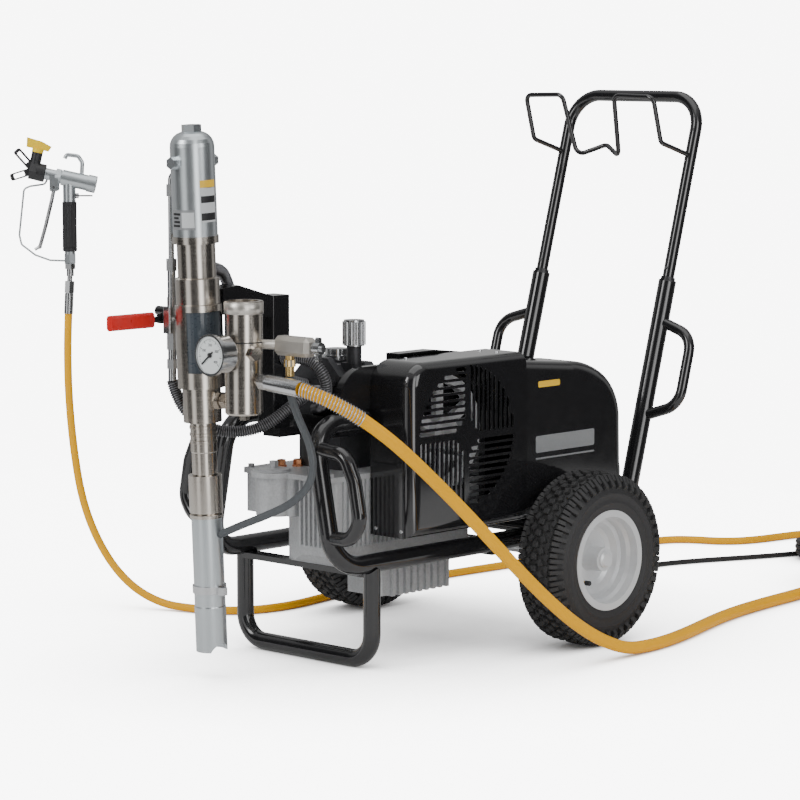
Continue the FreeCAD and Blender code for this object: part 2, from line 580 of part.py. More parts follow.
def make_ball_valve():
    """Steel oil line, ball valve and its red-gripped lever on the pump's left side."""
    x, y = VALVE_XY
    line = tube([(-33, y + 2, 846), (x, y, 846), (x, y, 690)], 5, 15)
    nuts = [hexagon((x, y, 808), (0, 0, 1), 14, 20), hexagon((x, y, 684), (0, 0, 1), 16, 20)]
    fitting = rod((x, y, 640), (x, y, 690), 7)
    keep("oil_line", fused(line, fitting, *nuts))
    stem_z = 602.0
    body = fused(block((x - 8, y - 14, 580), (x + 10, y + 14, 624), 3, (0, 0, 1)),
                 rod((x + 6, y + 8, 600), (x + 26, y + 16, 600), 8),
                 rod((x, y, 622), (x, y, 640), 8), hexagon((x, y, 552), (0, 0, 1), 16, 28),
                 rod((x, y, 500), (x, y, 556), 7), hexagon((x, y, 520), (0, 0, 1), 16, 16))
    body = body.cut(pump_turned([(0, 440), (39.5, 440), (39.5, 587), (37, 588), (37, 630),
                                 (0, 630)]))
    body = body.cut(rod((x - 34, y, stem_z), (x, y, stem_z), 5 + RUNNING_GAP))
    keep("ball_valve", body)
    def strap():
        return block((x - 24, y - 100, stem_z - 5), (x - 20, y + 8, stem_z + 5),
                     1.8, (1, 0, 0))

    keep("valve_lever", fused(rod((x - 32, y, stem_z), (x - 4, y, stem_z), 5),
                              hexagon((x - 32, y, stem_z), (1, 0, 0), 15, 9),
                              rod((x - 12, y - 2, stem_z + 14), (x - 32, y - 2, stem_z + 14), 8),
                              strap()))
    grip = block((x - 29, y - 119, stem_z - 13), (x - 15, y - 25, stem_z + 13), 6, (0, 1, 0))
    keep("valve_grip", grip.cut(strap()))


def make_filter():
    """High-pressure filter with its cap, gauge, relief valve and hose nipple."""
    x, y = FILTER_XY
    body = turned([(0, 0), (29.5, 0), (FILTER_RADIUS, 3), (FILTER_RADIUS, 119), (30.5, 120),
                   (FILTER_RADIUS, 121), (FILTER_RADIUS, 166), (0, 166)], (x, y, 454), (0, 0, 1))
    link_z = 472.0
    link = fused(rod((20, y, link_z), (x - 20, y, link_z), 10),
                 hexagon((30, y, link_z), (1, 0, 0), 27, 10),
                 hexagon((43, y, link_z), (1, 0, 0), 24, 12))
    link = link.cut(rod(pump_point(380), pump_point(460), 31.5))
    drain = hexagon((x, y, 444), (0, 0, 1), 16, 12)
    gauge_z = 557.0
    gauge_stem = rod((x, y - 20, gauge_z), (x, y - 42, gauge_z), 8)
    nipple = fused(rod((x + 25, y, 512), (x + 58, y, 511), 7),
                   hexagon((x + 34, y, 512), (1, 0, 0), 17, 12))
    side_plug = hexagon((x + 22, y - 8, 557), (1, -0.2, 0), 20, 22)
    housing = fused(body, link, drain, gauge_stem, nipple, side_plug)
    cap = turned([(0, 0), (32.5, 0), (32.5, 20), (31.5, 21.5), (25, 21.5), (25, 15), (0, 15)],
                 (x, y, 620), (0, 0, 1))
    keep("filter_housing", housing, cap)
    case = turned([(0, 0), (30, 0), (31, 2), (31, 28), (34.5, 28.5), (34.5, 36), (31, 36),
                   (31, 33), (0, 33)], (x, y - 42, gauge_z), (0, -1, 0))
    post = rod((x, y - 40, gauge_z), (x, y - 79.5, gauge_z), 2)
    case = fused(case, post)
    keep("gauge_case", case)
    needle = fused(rod((x, y - 76.2, gauge_z), (x, y - 78.5, gauge_z), 4),
                   block((x - 1.2, y - 77.6, gauge_z - 9), (x + 1.2, y - 76.6, gauge_z + 24)))
    needle = needle.cut(rod((x, y - 70, gauge_z), (x, y - 90, gauge_z), 2 + RUNNING_GAP))
    needle.rotate(V(x, y, gauge_z), V(0, 1, 0), -130)
    keep("gauge_needle", needle)
    bar_y, bar_z = -634.0, 570.0
    bar = block((138, bar_y - 15, bar_z - 16), (218, bar_y + 15, bar_z + 16))
    bar = bar.makeChamfer(7, bar.Edges[:])
    stub = rod((108, -650, bar_z), (142, bar_y, bar_z), 8)
    stub = stub.cut(rod((x, y, 500), (x, y, 660), FILTER_RADIUS))
    brass = fused(rod((165, bar_y, 555), (165, bar_y, 520), 7),
                  hexagon((165, bar_y, 536), (0, 0, 1), 17, 11))
    stem_bore = rod((196, bar_y, bar_z), (260, bar_y, bar_z), 5 + RUNNING_GAP)
    keep("relief_valve", fused(bar, stub, brass).cut(stem_bore))
    knob = fused(rod((200, bar_y, bar_z), (242, bar_y, bar_z), 5),
                 rod((224, bar_y, bar_z), (238, bar_y, bar_z), 10),
                 block((227, bar_y - 4, bar_z - 22), (235, bar_y + 4, bar_z + 18), 3, (1, 0, 0)))
    keep("relief_knob", knob)


def make_held_hoses():
    """Grey return hose and the three spring-guarded oil hoses, held at both ends."""
    keep("return_hose", tube([
        (165, -634, 519.6), (160, -629, 490), (171, -622, 452), (192, -618, 414),
        (204, -618, 376), (196, -621, 340), (163, -628, 309), (118, -640, 286),
        (72, -652, 267), (26, -662, 246)], 6.5).cut(
            rod(pump_point(180), pump_point(300), 28)))
    x, y = VALVE_XY
    under = [(x, y, 499.6), (x + 3, y + 9, 466), (x + 16, y + 30, 434), (-20, -624, 412),
             (12, -592, 410), (42, -562, 424), (62, -532, 452), (68, -496, 472),
             (54, -456, 474), (30, -413.5, 462)]
    across = [(20.3, -508, 528), (52, -504, 534), (84, -494, 526), (102, -486, 498),
              (92, -476, 468), (64, -458, 448), (36, -436, 440), (4, -413.5, 434)]
    behind = [(-2, -652, 690), (-14, -618, 686), (-31, -588, 662), (-38, -564, 618),
              (-42, -540, 562), (-42, -500, 512), (-32, -456, 484), (-18, -413.5, 474)]
    keep("oil_hoses", *[tube(route, 10.5) for route in (under, across, behind)])


# ---- spray gun ------------------------------------------------------------------------
def gun_place(shape):
    """Put a shape modelled with its barrel along +X and the grip foot at 0 into place."""
    shape.rotate(V(0, 0, 0), UP, GUN_BEARING_DEG)
    shape.translate(V(*GUN_BASE))
    return shape


def tilted(a, h, ahead, aside=0.0, rise=0.0):
    """Point ahead of (a, h) along the gun's barrel, which climbs a little."""
    t = math.radians(12.6)
    return (a + ahead * math.cos(t) - rise * math.sin(t), aside,
            h + ahead * math.sin(t) + rise * math.cos(t))


def make_gun():
    """Spray gun: body, grip, trigger, guard, tip guard, tip key and trigger lock."""
    t = math.radians(12.6)
    fore = (math.cos(t), 0, math.sin(t))
    o = (0.0, 141.0)
    head = rod(tilted(*o, -38), tilted(*o, 14), 15)
    head = fused(head, rod(tilted(*o, -52), tilted(*o, -36), 16.5), rod(tilted(*o, 14), tilted(*o, 46), 11),
                 hexagon(tilted(*o, 16), fore, 28, 10),
                 rod((0, 0, 96), (0, 0, 140), 12), rod((0, 0, -2), (0, 0, 3), 10))
    hook = tube([tilted(*o, -22, 0, 12), tilted(*o, -18, 0, 36), tilted(*o, -8, 0, 46),
                 tilted(*o, 14, 0, 44), tilted(*o, 16, 0, 36)], 4, 8)
    guard = tube([tilted(*o, 40, 0, -8), (46, 0, 131), (74, 0, 127), (86, 0, 122), (96, 0, 34),
                  (92, 0, 16), (66, 0, -4), (38, 0, -14), (8, 0, -15)], 2, 9)
    foot = hexagon((0, 0, -20), (0, 0, 1), 20, 18)
    ears = [block((20, s * 13 - 1.5, 118), (36, s * 13 + 1.5, 150), 3, (0, 1, 0))
            for s in (-1, 1)]
    body = fused(head, hook, guard, foot, rod((0, 0, -3), (0, 0, 100), 7), *ears)
    px, pz = TRIGGER_PIVOT
    body = body.cut(rod((px, -20, pz), (px, 20, pz), 2.5 + RUNNING_GAP))
    grip = fused(rod((0, 0, 3), (0, 0, 98), 14)).cut(rod((0, 0, 0), (0, 0, 100), 7))
    pin = rod((px, -16, pz), (px, 16, pz), 2.5)
    bars = [tube([(px, s * 8, pz), (34, s * 9, 98), (46, s * 8, 50), (57, s * 7, 12),
                  (66, s * 6, 7)], 3, 25) for s in (-1, 1)]
    foot_bar = rod((57, -8, 11), (57, 8, 11), 3)
    trigger = fused(pin, foot_bar, *bars)
    trigger_lock = fused(rod((-12.2, 0, 109), (-18, 0, 109), 5),
                         block((-44, -5, 107.5), (-15, 5, 110.5), 1, (1, 0, 0)))
    tip_body = fused(rod(tilted(*o, 47), tilted(*o, 64), 17), hexagon(tilted(*o, 62), fore, 32, 14),
                     rod(tilted(*o, 69, 0, 8), tilted(*o, 69, 0, 36), 10.5))
    for climb, length, rise in ((48.6, 44, 6), (-17.4, 40, -2)):
        wing = block((0, -6, -7), (length, 6, 7), 4, (0, 1, 0))
        wing = wing.cut(block((12, -7, -4), (length - 6, 7, 4), 2, (0, 1, 0)))
        wing.rotate(V(0, 0, 0), V(0, 1, 0), -climb)
        wing.translate(V(*tilted(*o, 74, 0, rise)))
        tip_body = fused(tip_body, wing)
    key_bore = rod(tilted(*o, 69, 0, -6), tilted(*o, 69, 0, 40), 6.5 + RUNNING_GAP)
    tip_body = tip_body.cut(key_bore)
    key = fused(rod(tilted(*o, 69, 0, -4), tilted(*o, 69, 0, 40), 6.5),
                rod(tilted(*o, 69, 0, 36.2), tilted(*o, 69, 0, 44), 11))
    wing_key = plate([(-22, 42), (20, 42), (24, 52), (4, 58), (-25, 60)], -4, 4)
    wing_key.rotate(V(0, 0, 0), UP, 90)
    wing_key.rotate(V(0, 0, 0), V(0, 1, 0), -12.6)
    wing_key.translate(V(*tilted(*o, 69)))
    key = fused(key, wing_key)
    for name, shape in (("gun_body", body), ("gun_grip", grip), ("gun_trigger", trigger),
                        ("trigger_lock", trigger_lock), ("tip_guard", tip_body), ("tip_key", key)):
        keep(name, gun_place(shape))


# ---- cords ----------------------------------------------------------------------------
MAIN_ROUTE = [
    (222, -664.5, 505), (246, -656, 498), (272, -636, 483), (300, -600, 456),
    (327, -548, 411), (348, -486, 351), (364, -422, 289), (376, -360, 228), (385, -300, 171),
    (391, -240, 120), (396, -178, 74), (400, -114, 38), (402, -50, 15), (400, 14, 11),
    (392, 84, 11), (373, 160, 11), (349, 238, 11), (325, 320, 11), (308, 404, 11),
    (297, 490, 11), (290, 574, 11), (282, 650, 11), (258, 722, 11), (224, 786, 11)]
WHIP_ROUTE = [
    (-761, -314, 545), (-761.5, -316, 504), (-759, -319, 452), (-753, -323, 398),
    (-741, -328, 334), (-724, -333, 268), (-704, -338, 211), (-679, -340, 160),
    (-648, -338, 112), (-610, -332, 68), (-566, -318, 32), (-516, -296, 10),
    (-462, -280, 7.5), (-410, -262, 7.5), (-370, -224, 7.5), (-352, -170, 7.5),
    (-349, -108, 7.5), (-362, -34, 7.5), (-374, 56, 7.5), (-376, 160, 7.5),
    (-370, 268, 7.5), (-362, 376, 7.5), (-352, 480, 7.5), (-344, 588, 7.5),
    (-338, 690, 7.5), (-337, 780, 7.5), (-332, 860, 7.5), (-324, 930, 7.5),
    (-304, 978, 7.5), (-266, 1004, 7.5), (-222, 1020, 7.5), (-190, 1054, 7.5),
    (-172, 1106, 7.5), (-162, 1168, 7.5), (-149, 1228, 7.5), (-112, 1280, 7.5),
    (-56, 1303, 9), (4, 1300, 12.5)]
CABLE_ROUTE = [
    (-20, 174, 446), (-20, 212, 444), (-20, 246, 428), (-22, 272, 394), (-24, 288, 344),
    (-26, 300, 280), (-32, 312, 214), (-40, 330, 148), (-52, 356, 88), (-70, 394, 38),
    (-96, 448, 10), (-122, 514, 5), (-142, 586, 5), (-148, 660, 5), (-137, 732, 5),
    (-113, 799, 5), (-84, 861, 5), (-56, 919, 5), (-32, 975, 5), (-16, 1028, 5)]
TAIL_ROUTE = [
    (192, 896, 77), (193, 944, 66), (198, 998, 38), (205, 1056, 15), (208, 1120, 11),
    (198, 1184, 11), (168, 1240, 11), (120, 1272, 11.5), (64, 1282, 12.5)]
CABLE_TAIL_ROUTE = [
    (-13, 1036, 34), (-10, 1068, 26), (-4, 1102, 19), (3, 1136, 21), (10, 1168, 25)]
COIL_CENTRE = (376.0, 888.0)
COIL_MEAN = 151.0
COIL_HALF_WIDTH = 44.0
COIL_HEIGHT = 88.0
CABLE_COIL_CENTRE = (55.0, 1036.0)
CABLE_COIL_MEAN = 58.0
CABLE_COIL_HALF_WIDTH = 15.0
CABLE_COIL_HEIGHT = 40.0


def coil(centre, mean, half_width, height):
    """Outer shape of a put-away coil lying on the floor."""
    r0, r1 = mean - half_width, mean + half_width
    lip = half_width * 0.3
    return turned([(r0, lip), (r0 + lip, 0), (r1 - lip, 0), (r1, lip), (r1, height - lip),
                   (r1 - lip, height), (r0 + lip, height), (r0, height - lip)],
                  (centre[0], centre[1], 0), (0, 0, 1))


def make_cords():
    """Paint hose, whip hose and power cable, with their put-away coils and ends."""
    cord("main_hose", [MAIN_ROUTE, TAIL_ROUTE], MAIN_HOSE_RADIUS)
    keep("main_hose_coil", coil(COIL_CENTRE, COIL_MEAN, COIL_HALF_WIDTH, COIL_HEIGHT))
    cord("whip_hose", [WHIP_ROUTE], WHIP_HOSE_RADIUS)
    cord("power_cable", [CABLE_ROUTE, CABLE_TAIL_ROUTE], CABLE_RADIUS)
    keep("power_cable_coil", coil(CABLE_COIL_CENTRE, CABLE_COIL_MEAN, CABLE_COIL_HALF_WIDTH,
                                  CABLE_COIL_HEIGHT))
    make_cord_ends()


def along(start, end, distance):
    """Point at a distance from start towards end."""
    a, b = V(*start), V(*end)
    return tuple(a + (b - a).normalize() * distance)


def make_cord_ends():
    """Hose ferrules, the coupling between the hoses, the mains plug and the tube clamp."""
    start, end = (131, -666, 511.5), MAIN_ROUTE[0]
    heading = V(*end) - V(*start)
    ferrule = fused(hexagon(start, heading, 24, 19), rod(along(start, end, 17), end, 14))
    a, b = WHIP_ROUTE[-1], TAIL_ROUTE[-1]
    coupling = fused(rod(a, b, 9.5), hexagon(along(a, b, 18), V(*b) - V(*a), 21, 24))
    keep("main_hose_fittings", ferrule, coupling)
    gx, gy, gz = GUN_BASE
    top, low = (gx, gy, gz - 29), WHIP_ROUTE[0]
    keep("whip_fitting", fused(
        hexagon((gx, gy, gz - 30.5), UP, 18, 10), rod((gx, gy, gz - 44), (gx, gy, gz - 30), 7),
        rod(top, low, 5), hexagon(along(top, low, 25), V(*low) - V(*top), 18, 22),
        rod(along(top, low, 48), low, 8.5)))
    a, b = CABLE_TAIL_ROUTE[-1], CABLE_TAIL_ROUTE[-2]
    heading = V(a[0] - b[0], a[1] - b[1], 0).normalize()
    body = turned([(0, 0), (8, 0), (10, 30), (19, 38), (21, 60), (25, 68), (25, 96), (22, 96),
                   (22, 76), (0, 76)], a, heading)
    across = V(-heading.y, heading.x, 0)
    pins = [Part.makeCylinder(2.4, 20, V(*a) + heading * 75 + across * step, heading)
            for step in (-9.5, 9.5)]
    keep("power_plug", fused(body, *pins))
    band = ring(pump_point(100), pump_point(113), 28.5, 26)
    lug = block((22, -672, 145), (42, -660, 158), 2, (0, 0, 1))
    keep("hose_clamp", fused(band, lug.cut(rod(pump_point(90), pump_point(125), 26.5))))


CORD_NODES = ("main_hose", "main_hose_coil", "main_hose_fittings", "whip_hose", "whip_fitting",
              "power_cable", "power_cable_coil", "power_plug")


def base_shift():
    """Vector that puts the origin under the middle of the box of all but the free cords."""
    held = [s for name, solids in NODES.items() if name not in CORD_NODES for s in solids]
    boxes = [s.optimalBoundingBox() for s in held]
    return V(-(min(b.XMin for b in boxes) + max(b.XMax for b in boxes)) / 2,
             -(min(b.YMin for b in boxes) + max(b.YMax for b in boxes)) / 2,
             -min(b.ZMin for b in boxes))


def main():
    os.makedirs("parts", exist_ok=True)
    make_frame()
    make_handle()
    make_wheels()
    make_tank()
    make_manifold()
    make_motor()
    make_belt_drive()
    make_cover()
    make_paint_pump()
    make_bracket()
    make_ball_valve()
    make_filter()
    make_held_hoses()
    make_gun()
    make_cords()
    shift = base_shift()
    print("shift", round(shift.x, 4), round(shift.y, 4), round(shift.z, 4))
    for name, solids in NODES.items():
        shape = solids[0] if len(solids) == 1 else Part.makeCompound(solids)
        shape.translate(shift)
        if not shape.isValid() or len(shape.Solids) != len(solids):
            print("CHECK", name, shape.isValid(), len(shape.Solids), len(solids))
        shape.exportStep("parts/%s.step" % name)
    print(len(NODES), "nodes")


main()
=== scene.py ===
import json
import math

import bpy
import bmesh
from mathutils import Matrix, Vector


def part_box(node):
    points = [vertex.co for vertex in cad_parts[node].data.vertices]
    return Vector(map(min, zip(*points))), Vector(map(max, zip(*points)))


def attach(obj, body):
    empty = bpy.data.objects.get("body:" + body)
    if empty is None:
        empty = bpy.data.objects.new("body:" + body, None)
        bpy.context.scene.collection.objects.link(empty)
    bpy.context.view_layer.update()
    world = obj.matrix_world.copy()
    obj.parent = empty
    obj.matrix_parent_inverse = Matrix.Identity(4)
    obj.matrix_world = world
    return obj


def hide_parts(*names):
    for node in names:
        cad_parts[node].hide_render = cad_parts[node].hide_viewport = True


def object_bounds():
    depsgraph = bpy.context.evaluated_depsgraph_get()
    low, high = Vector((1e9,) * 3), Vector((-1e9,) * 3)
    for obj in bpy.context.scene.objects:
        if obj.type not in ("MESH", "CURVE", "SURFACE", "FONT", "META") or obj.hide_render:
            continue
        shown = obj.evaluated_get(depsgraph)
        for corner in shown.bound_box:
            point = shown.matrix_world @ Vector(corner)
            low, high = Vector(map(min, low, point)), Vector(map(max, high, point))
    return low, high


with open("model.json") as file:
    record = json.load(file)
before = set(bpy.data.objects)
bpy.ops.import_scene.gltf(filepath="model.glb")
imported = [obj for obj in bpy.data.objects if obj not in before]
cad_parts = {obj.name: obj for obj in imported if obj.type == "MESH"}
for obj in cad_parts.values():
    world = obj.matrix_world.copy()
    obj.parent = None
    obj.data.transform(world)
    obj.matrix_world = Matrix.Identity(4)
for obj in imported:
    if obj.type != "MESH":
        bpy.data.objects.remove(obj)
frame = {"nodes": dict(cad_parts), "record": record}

# Airless paint sprayer. The CAD parts stay as they are and get their finishes here; this
# script adds the cords, tyre tread, spring guards, gauge dial, plates, screws and nuts.
# cart(x, y, z) takes millimetres from the point on the floor under the middle of the axle.

CAD_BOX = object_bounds()
AXLE_LOW, AXLE_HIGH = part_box("axle")
AXLE = (AXLE_LOW + AXLE_HIGH) / 2
MM = 0.001


def cart(x, y, z):
    """Point in metres from millimetres on the cart."""
    return Vector((AXLE.x + x * MM, AXLE.y + y * MM, z * MM))


# ---- camera ---------------------------------------------------------------------------
CAMERA_PLACE = (3780.9, -4198.35, 1075.89)
CAMERA_TURN = (83.31, 0.0, 43.38)
camera_data = bpy.data.cameras.new("camera")
camera_data.lens = 140.5
camera_data.sensor_width = 36.0
camera_data.clip_end = 60.0
camera = bpy.data.objects.new("camera", camera_data)
camera.location = cart(*CAMERA_PLACE)
camera.rotation_euler = [math.radians(angle) for angle in CAMERA_TURN]
bpy.context.collection.objects.link(camera)
bpy.context.scene.camera = camera


# ---- materials ------------------------------------------------------------------------
def material(name, color, rough, metal=0.0, coat=0.0, grain=60.0, shade=0.08, bump=0.05,
             spread=0.06, stretch=(1, 1, 1), depth=0.0004, dust=0.0):
    """Principled finish with noise in its colour, roughness and bump, and broad worn patches."""
    mat = bpy.data.materials.new(name)
    mat.use_nodes = True
    nodes, links = mat.node_tree.nodes, mat.node_tree.links
    shader = nodes["Principled BSDF"]
    shader.inputs["Metallic"].default_value = metal
    shader.inputs["Coat Weight"].default_value = coat
    shader.inputs["Coat Roughness"].default_value = 0.08
    place = nodes.new("ShaderNodeTexCoord")
    mapping = nodes.new("ShaderNodeMapping")
    mapping.inputs["Scale"].default_value = stretch
    links.new(place.outputs["Object"], mapping.inputs["Vector"])
    fine = nodes.new("ShaderNodeTexNoise")
    fine.inputs["Scale"].default_value = grain
    fine.inputs["Detail"].default_value = 6.0
    fine.inputs["Roughness"].default_value = 0.65
    links.new(mapping.outputs["Vector"], fine.inputs["Vector"])
    broad = nodes.new("ShaderNodeTexNoise")
    broad.inputs["Scale"].default_value = 9.0
    broad.inputs["Detail"].default_value = 3.0
    links.new(place.outputs["Object"], broad.inputs["Vector"])
    ramp = nodes.new("ShaderNodeValToRGB")
    ramp.color_ramp.elements[0].position = 0.3
    ramp.color_ramp.elements[1].position = 0.7
    dark = [c * (1 - shade) for c in color]
    light = [min(1.0, c * (1 + shade)) for c in color]
    ramp.color_ramp.elements[0].color = dark + [1.0]
    ramp.color_ramp.elements[1].color = light + [1.0]
    links.new(fine.outputs["Fac"], ramp.inputs["Fac"])
    mix = nodes.new("ShaderNodeMix")
    mix.data_type = "RGBA"
    mix.inputs["B"].default_value = [c * 0.8 + 0.06 * dust for c in color] + [1.0]
    level = nodes.new("ShaderNodeMapRange")
    level.inputs["From Min"].default_value = 0.45
    level.inputs["From Max"].default_value = 0.8
    level.inputs["To Max"].default_value = 0.25 + dust
    links.new(broad.outputs["Fac"], level.inputs["Value"])
    links.new(level.outputs["Result"], mix.inputs["Factor"])
    links.new(ramp.outputs["Color"], mix.inputs["A"])
    links.new(mix.outputs["Result"], shader.inputs["Base Color"])
    gloss = nodes.new("ShaderNodeMapRange")
    gloss.inputs["From Min"].default_value = 0.3
    gloss.inputs["From Max"].default_value = 0.7
    gloss.inputs["To Min"].default_value = max(0.02, rough - spread)
    gloss.inputs["To Max"].default_value = rough + spread
    links.new(fine.outputs["Fac"], gloss.inputs["Value"])
    links.new(gloss.outputs["Result"], shader.inputs["Roughness"])
    relief = nodes.new("ShaderNodeBump")
    relief.inputs["Strength"].default_value = bump
    relief.inputs["Distance"].default_value = depth
    links.new(fine.outputs["Fac"], relief.inputs["Height"])
    links.new(relief.outputs["Normal"], shader.inputs["Normal"])
    return mat


MATERIALS = {
    "black_paint": material("black_paint", [0.011, 0.011, 0.012], 0.16, coat=0.6, grain=120,
                            bump=0.08, spread=0.04),
    "silver_paint": material("silver_paint", [0.72, 0.73, 0.74], 0.36, metal=0.35, grain=60,
                             shade=0.02, bump=0.0, spread=0.02),
    "tyre": material("tyre", [0.028, 0.028, 0.029], 0.62, grain=180, shade=0.2, bump=0.35,
                     depth=0.0008, dust=0.15),
    "cast_aluminium": material("cast_aluminium", [0.50, 0.51, 0.52], 0.5, metal=0.3, grain=260,
                               shade=0.14, bump=0.45, depth=0.0006),
    "dark_casting": material("dark_casting", [0.045, 0.046, 0.05], 0.42, metal=0.35, grain=200,
                             shade=0.2, bump=0.4),
    "motor_grey": material("motor_grey", [0.13, 0.135, 0.14], 0.45, metal=0.5, grain=200,
                           shade=0.15, bump=0.4),
    "cover_plastic": material("cover_plastic", [0.010, 0.010, 0.011], 0.11, coat=0.8, grain=40,
                              bump=0.03, spread=0.03),
    "cover_grey": material("cover_grey", [0.012, 0.012, 0.013], 0.13, coat=0.7, grain=40,
                           bump=0.03, spread=0.03),
    "stainless": material("stainless", [0.54, 0.50, 0.45], 0.22, metal=1.0, grain=14,
                          shade=0.05, bump=0.02, spread=0.04, stretch=(1, 1, 60), depth=0.0001),
    "bright_aluminium": material("bright_aluminium", [0.58, 0.62, 0.64], 0.29, metal=0.9,
                                 grain=30, shade=0.01, bump=0.0, spread=0.01),
    "nickel": material("nickel", [0.62, 0.59, 0.54], 0.34, metal=0.85, grain=60, shade=0.02,
                       bump=0.0, spread=0.02),
    "zinc": material("zinc", [0.62, 0.63, 0.64], 0.23, metal=1.0, grain=40, shade=0.02,
                     bump=0.0, spread=0.015),
    "spring_steel": material("spring_steel", [0.20, 0.20, 0.21], 0.34, metal=1.0, grain=90,
                             shade=0.15, bump=0.1),
    "guard_blue": material("guard_blue", [0.045, 0.058, 0.072], 0.3, coat=0.3, grain=120,
                           shade=0.1, bump=0.05),
    # pale grey of the pump pulley: its silver colour, made lighter as painted light because the
    # pulley sits in shade behind its grille
    "pulley_silver_painted_light": material("pulley_silver_painted_light", [0.74, 0.75, 0.76], 0.36, metal=0.15, grain=160,
                              shade=0.06, bump=0.1),
    "brass": material("brass", [0.72, 0.50, 0.20], 0.28, metal=1.0, grain=90, shade=0.1),
    "copper": material("copper", [0.66, 0.30, 0.15], 0.32, metal=1.0, grain=90, shade=0.12),
    "yellow_hose": material("yellow_hose", [1.0, 0.47, 0.0], 0.42, coat=0.0, grain=150,
                            shade=0.05, bump=0.08, dust=0.05),
    "black_cable": material("black_cable", [0.016, 0.016, 0.017], 0.45, grain=160, shade=0.2,
                            bump=0.15),
    "grey_hose": material("grey_hose", [0.075, 0.083, 0.09], 0.45, grain=160, shade=0.12,
                          bump=0.15),
    "spring_hose": material("spring_hose", [0.03, 0.03, 0.032], 0.5, grain=160, shade=0.15,
                            bump=0.15),
    "red_grip": material("red_grip", [0.66, 0.017, 0.012], 0.32, coat=0.3, grain=120,
                         shade=0.08, bump=0.08),
    "yellow_plastic": material("yellow_plastic", [1.0, 0.66, 0.01], 0.36, grain=120,
                               shade=0.06, bump=0.08),
    "black_plastic": material("black_plastic", [0.02, 0.02, 0.022], 0.42, grain=220, shade=0.2,
                              bump=0.25),
    "belt_rubber": material("belt_rubber", [0.02, 0.02, 0.02], 0.6, grain=200, shade=0.2,
                            bump=0.3),
    "dial": material("dial", [0.80, 0.84, 0.84], 0.3, grain=300, shade=0.01, bump=0.01),
    # black for print on the gauge and plates, also used as painted shade in the filter's groove
    "print_and_shade_black": material("print_and_shade_black", [0.012, 0.012, 0.014], 0.5, grain=300, bump=0.02),
    "label_grey": material("label_grey", [0.30, 0.31, 0.32], 0.35, metal=0.3, grain=300,
                           shade=0.05, bump=0.05),
    "label_yellow": material("label_yellow", [0.90, 0.55, 0.03], 0.35, grain=300, shade=0.05,
                             bump=0.05),
    "label_pale": material("label_pale", [0.62, 0.64, 0.65], 0.4, grain=300, shade=0.04,
                           bump=0.05),
}
hose_shader = MATERIALS["yellow_hose"].node_tree.nodes["Principled BSDF"]
hose_shader.inputs["Specular IOR Level"].default_value = 0.22
# finishes that differ from the material slot of the node; the pump pulley's pale grey is partly
# painted light
SPECIAL = {"pressure_knob": "zinc", "filler_cap": "zinc", "pump_pulley": "pulley_silver_painted_light",
           "relief_valve": "nickel"}
SLOTS = {part["node"]: part["material_slot"] for part in frame["record"]["subparts"]}
for node_name, node_object in frame["nodes"].items():
    finish = MATERIALS[SPECIAL.get(node_name, SLOTS[node_name])]
    node_object.data.materials.clear()
    node_object.data.materials.append(finish)


# ---- helpers --------------------------------------------------------------------------
def add(name, data, slot, body, finish=None, smooth=False):
    """Object from mesh or curve data, with its finish, riding on a body."""
    obj = bpy.data.objects.new(name, data)
    bpy.context.collection.objects.link(obj)
    data.materials.append(MATERIALS[finish or slot])
    if smooth:
        for face in data.polygons:
            face.use_smooth = True
    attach(obj, body)
    return obj


def mesh_of(name, vertices, faces):
    """Mesh data from points in metres."""
    mesh = bpy.data.meshes.new(name)
    mesh.from_pydata([tuple(v) for v in vertices], [], faces)
    mesh.validate()
    mesh.update()
    return mesh


def nurbs(name, points, radius):
    """Smooth open spline through millimetre control points, with a round section."""
    data = bpy.data.curves.new(name, "CURVE")
    data.dimensions = "3D"
    spline = data.splines.new("NURBS")
    spline.points.add(len(points) - 1)
    for point, place in zip(spline.points, points):
        point.co = (*cart(*place), 1.0)
    spline.order_u = 3
    spline.use_endpoint_u = True
    spline.resolution_u = 8
    data.bevel_depth = radius * MM
    data.bevel_resolution = 6
    data.use_fill_caps = True
    return data


def line_of(points):
    """Points along the smooth spline of a route, closely spaced."""
    data = nurbs("line", points, 0.0)
    obj = bpy.data.objects.new("line", data)
    bpy.context.collection.objects.link(obj)
    bpy.context.view_layer.update()
    mesh = bpy.data.meshes.new_from_object(obj)
    line = [v.co.copy() for v in mesh.vertices]
    bpy.data.objects.remove(obj)
    bpy.data.curves.remove(data)
    bpy.data.meshes.remove(mesh)
    return line


def between(line, start, end):
    """Points 2 mm apart on a line, from one length along it to another, in millimetres."""
    out, gone = [], 0.0
    for a, b in zip(line, line[1:]):
        step = (b - a).length
        steps = max(1, int(step / (2 * MM)))
        for i in range(steps):
            here = gone + step * i / steps
            if start * MM <= here <= end * MM:
                out.append(a.lerp(b, i / steps))
        gone += step
    return out


def swept(name, line, radius, sides=8):
    """Closed tube mesh along a line of points."""
    rings = []
    heading = (line[1] - line[0]).normalized()
    side = heading.orthogonal().normalized()
    for i, point in enumerate(line):
        ahead = (line[min(i + 1, len(line) - 1)] - line[max(i - 1, 0)]).normalized()
        side = (side - ahead * side.dot(ahead)).normalized()
        up = ahead.cross(side)
        rings.append([point + (side * math.cos(a) + up * math.sin(a)) * radius * MM
                      for a in (2 * math.pi * k / sides for k in range(sides))])
    vertices = [v for ring in rings for v in ring]
    faces = [(i * sides + k, i * sides + (k + 1) % sides, (i + 1) * sides + (k + 1) % sides,
              (i + 1) * sides + k) for i in range(len(rings) - 1) for k in range(sides)]
    faces.append(tuple(reversed(range(sides))))
    faces.append(tuple(range(len(vertices) - sides, len(vertices))))
    return mesh_of(name, vertices, faces)


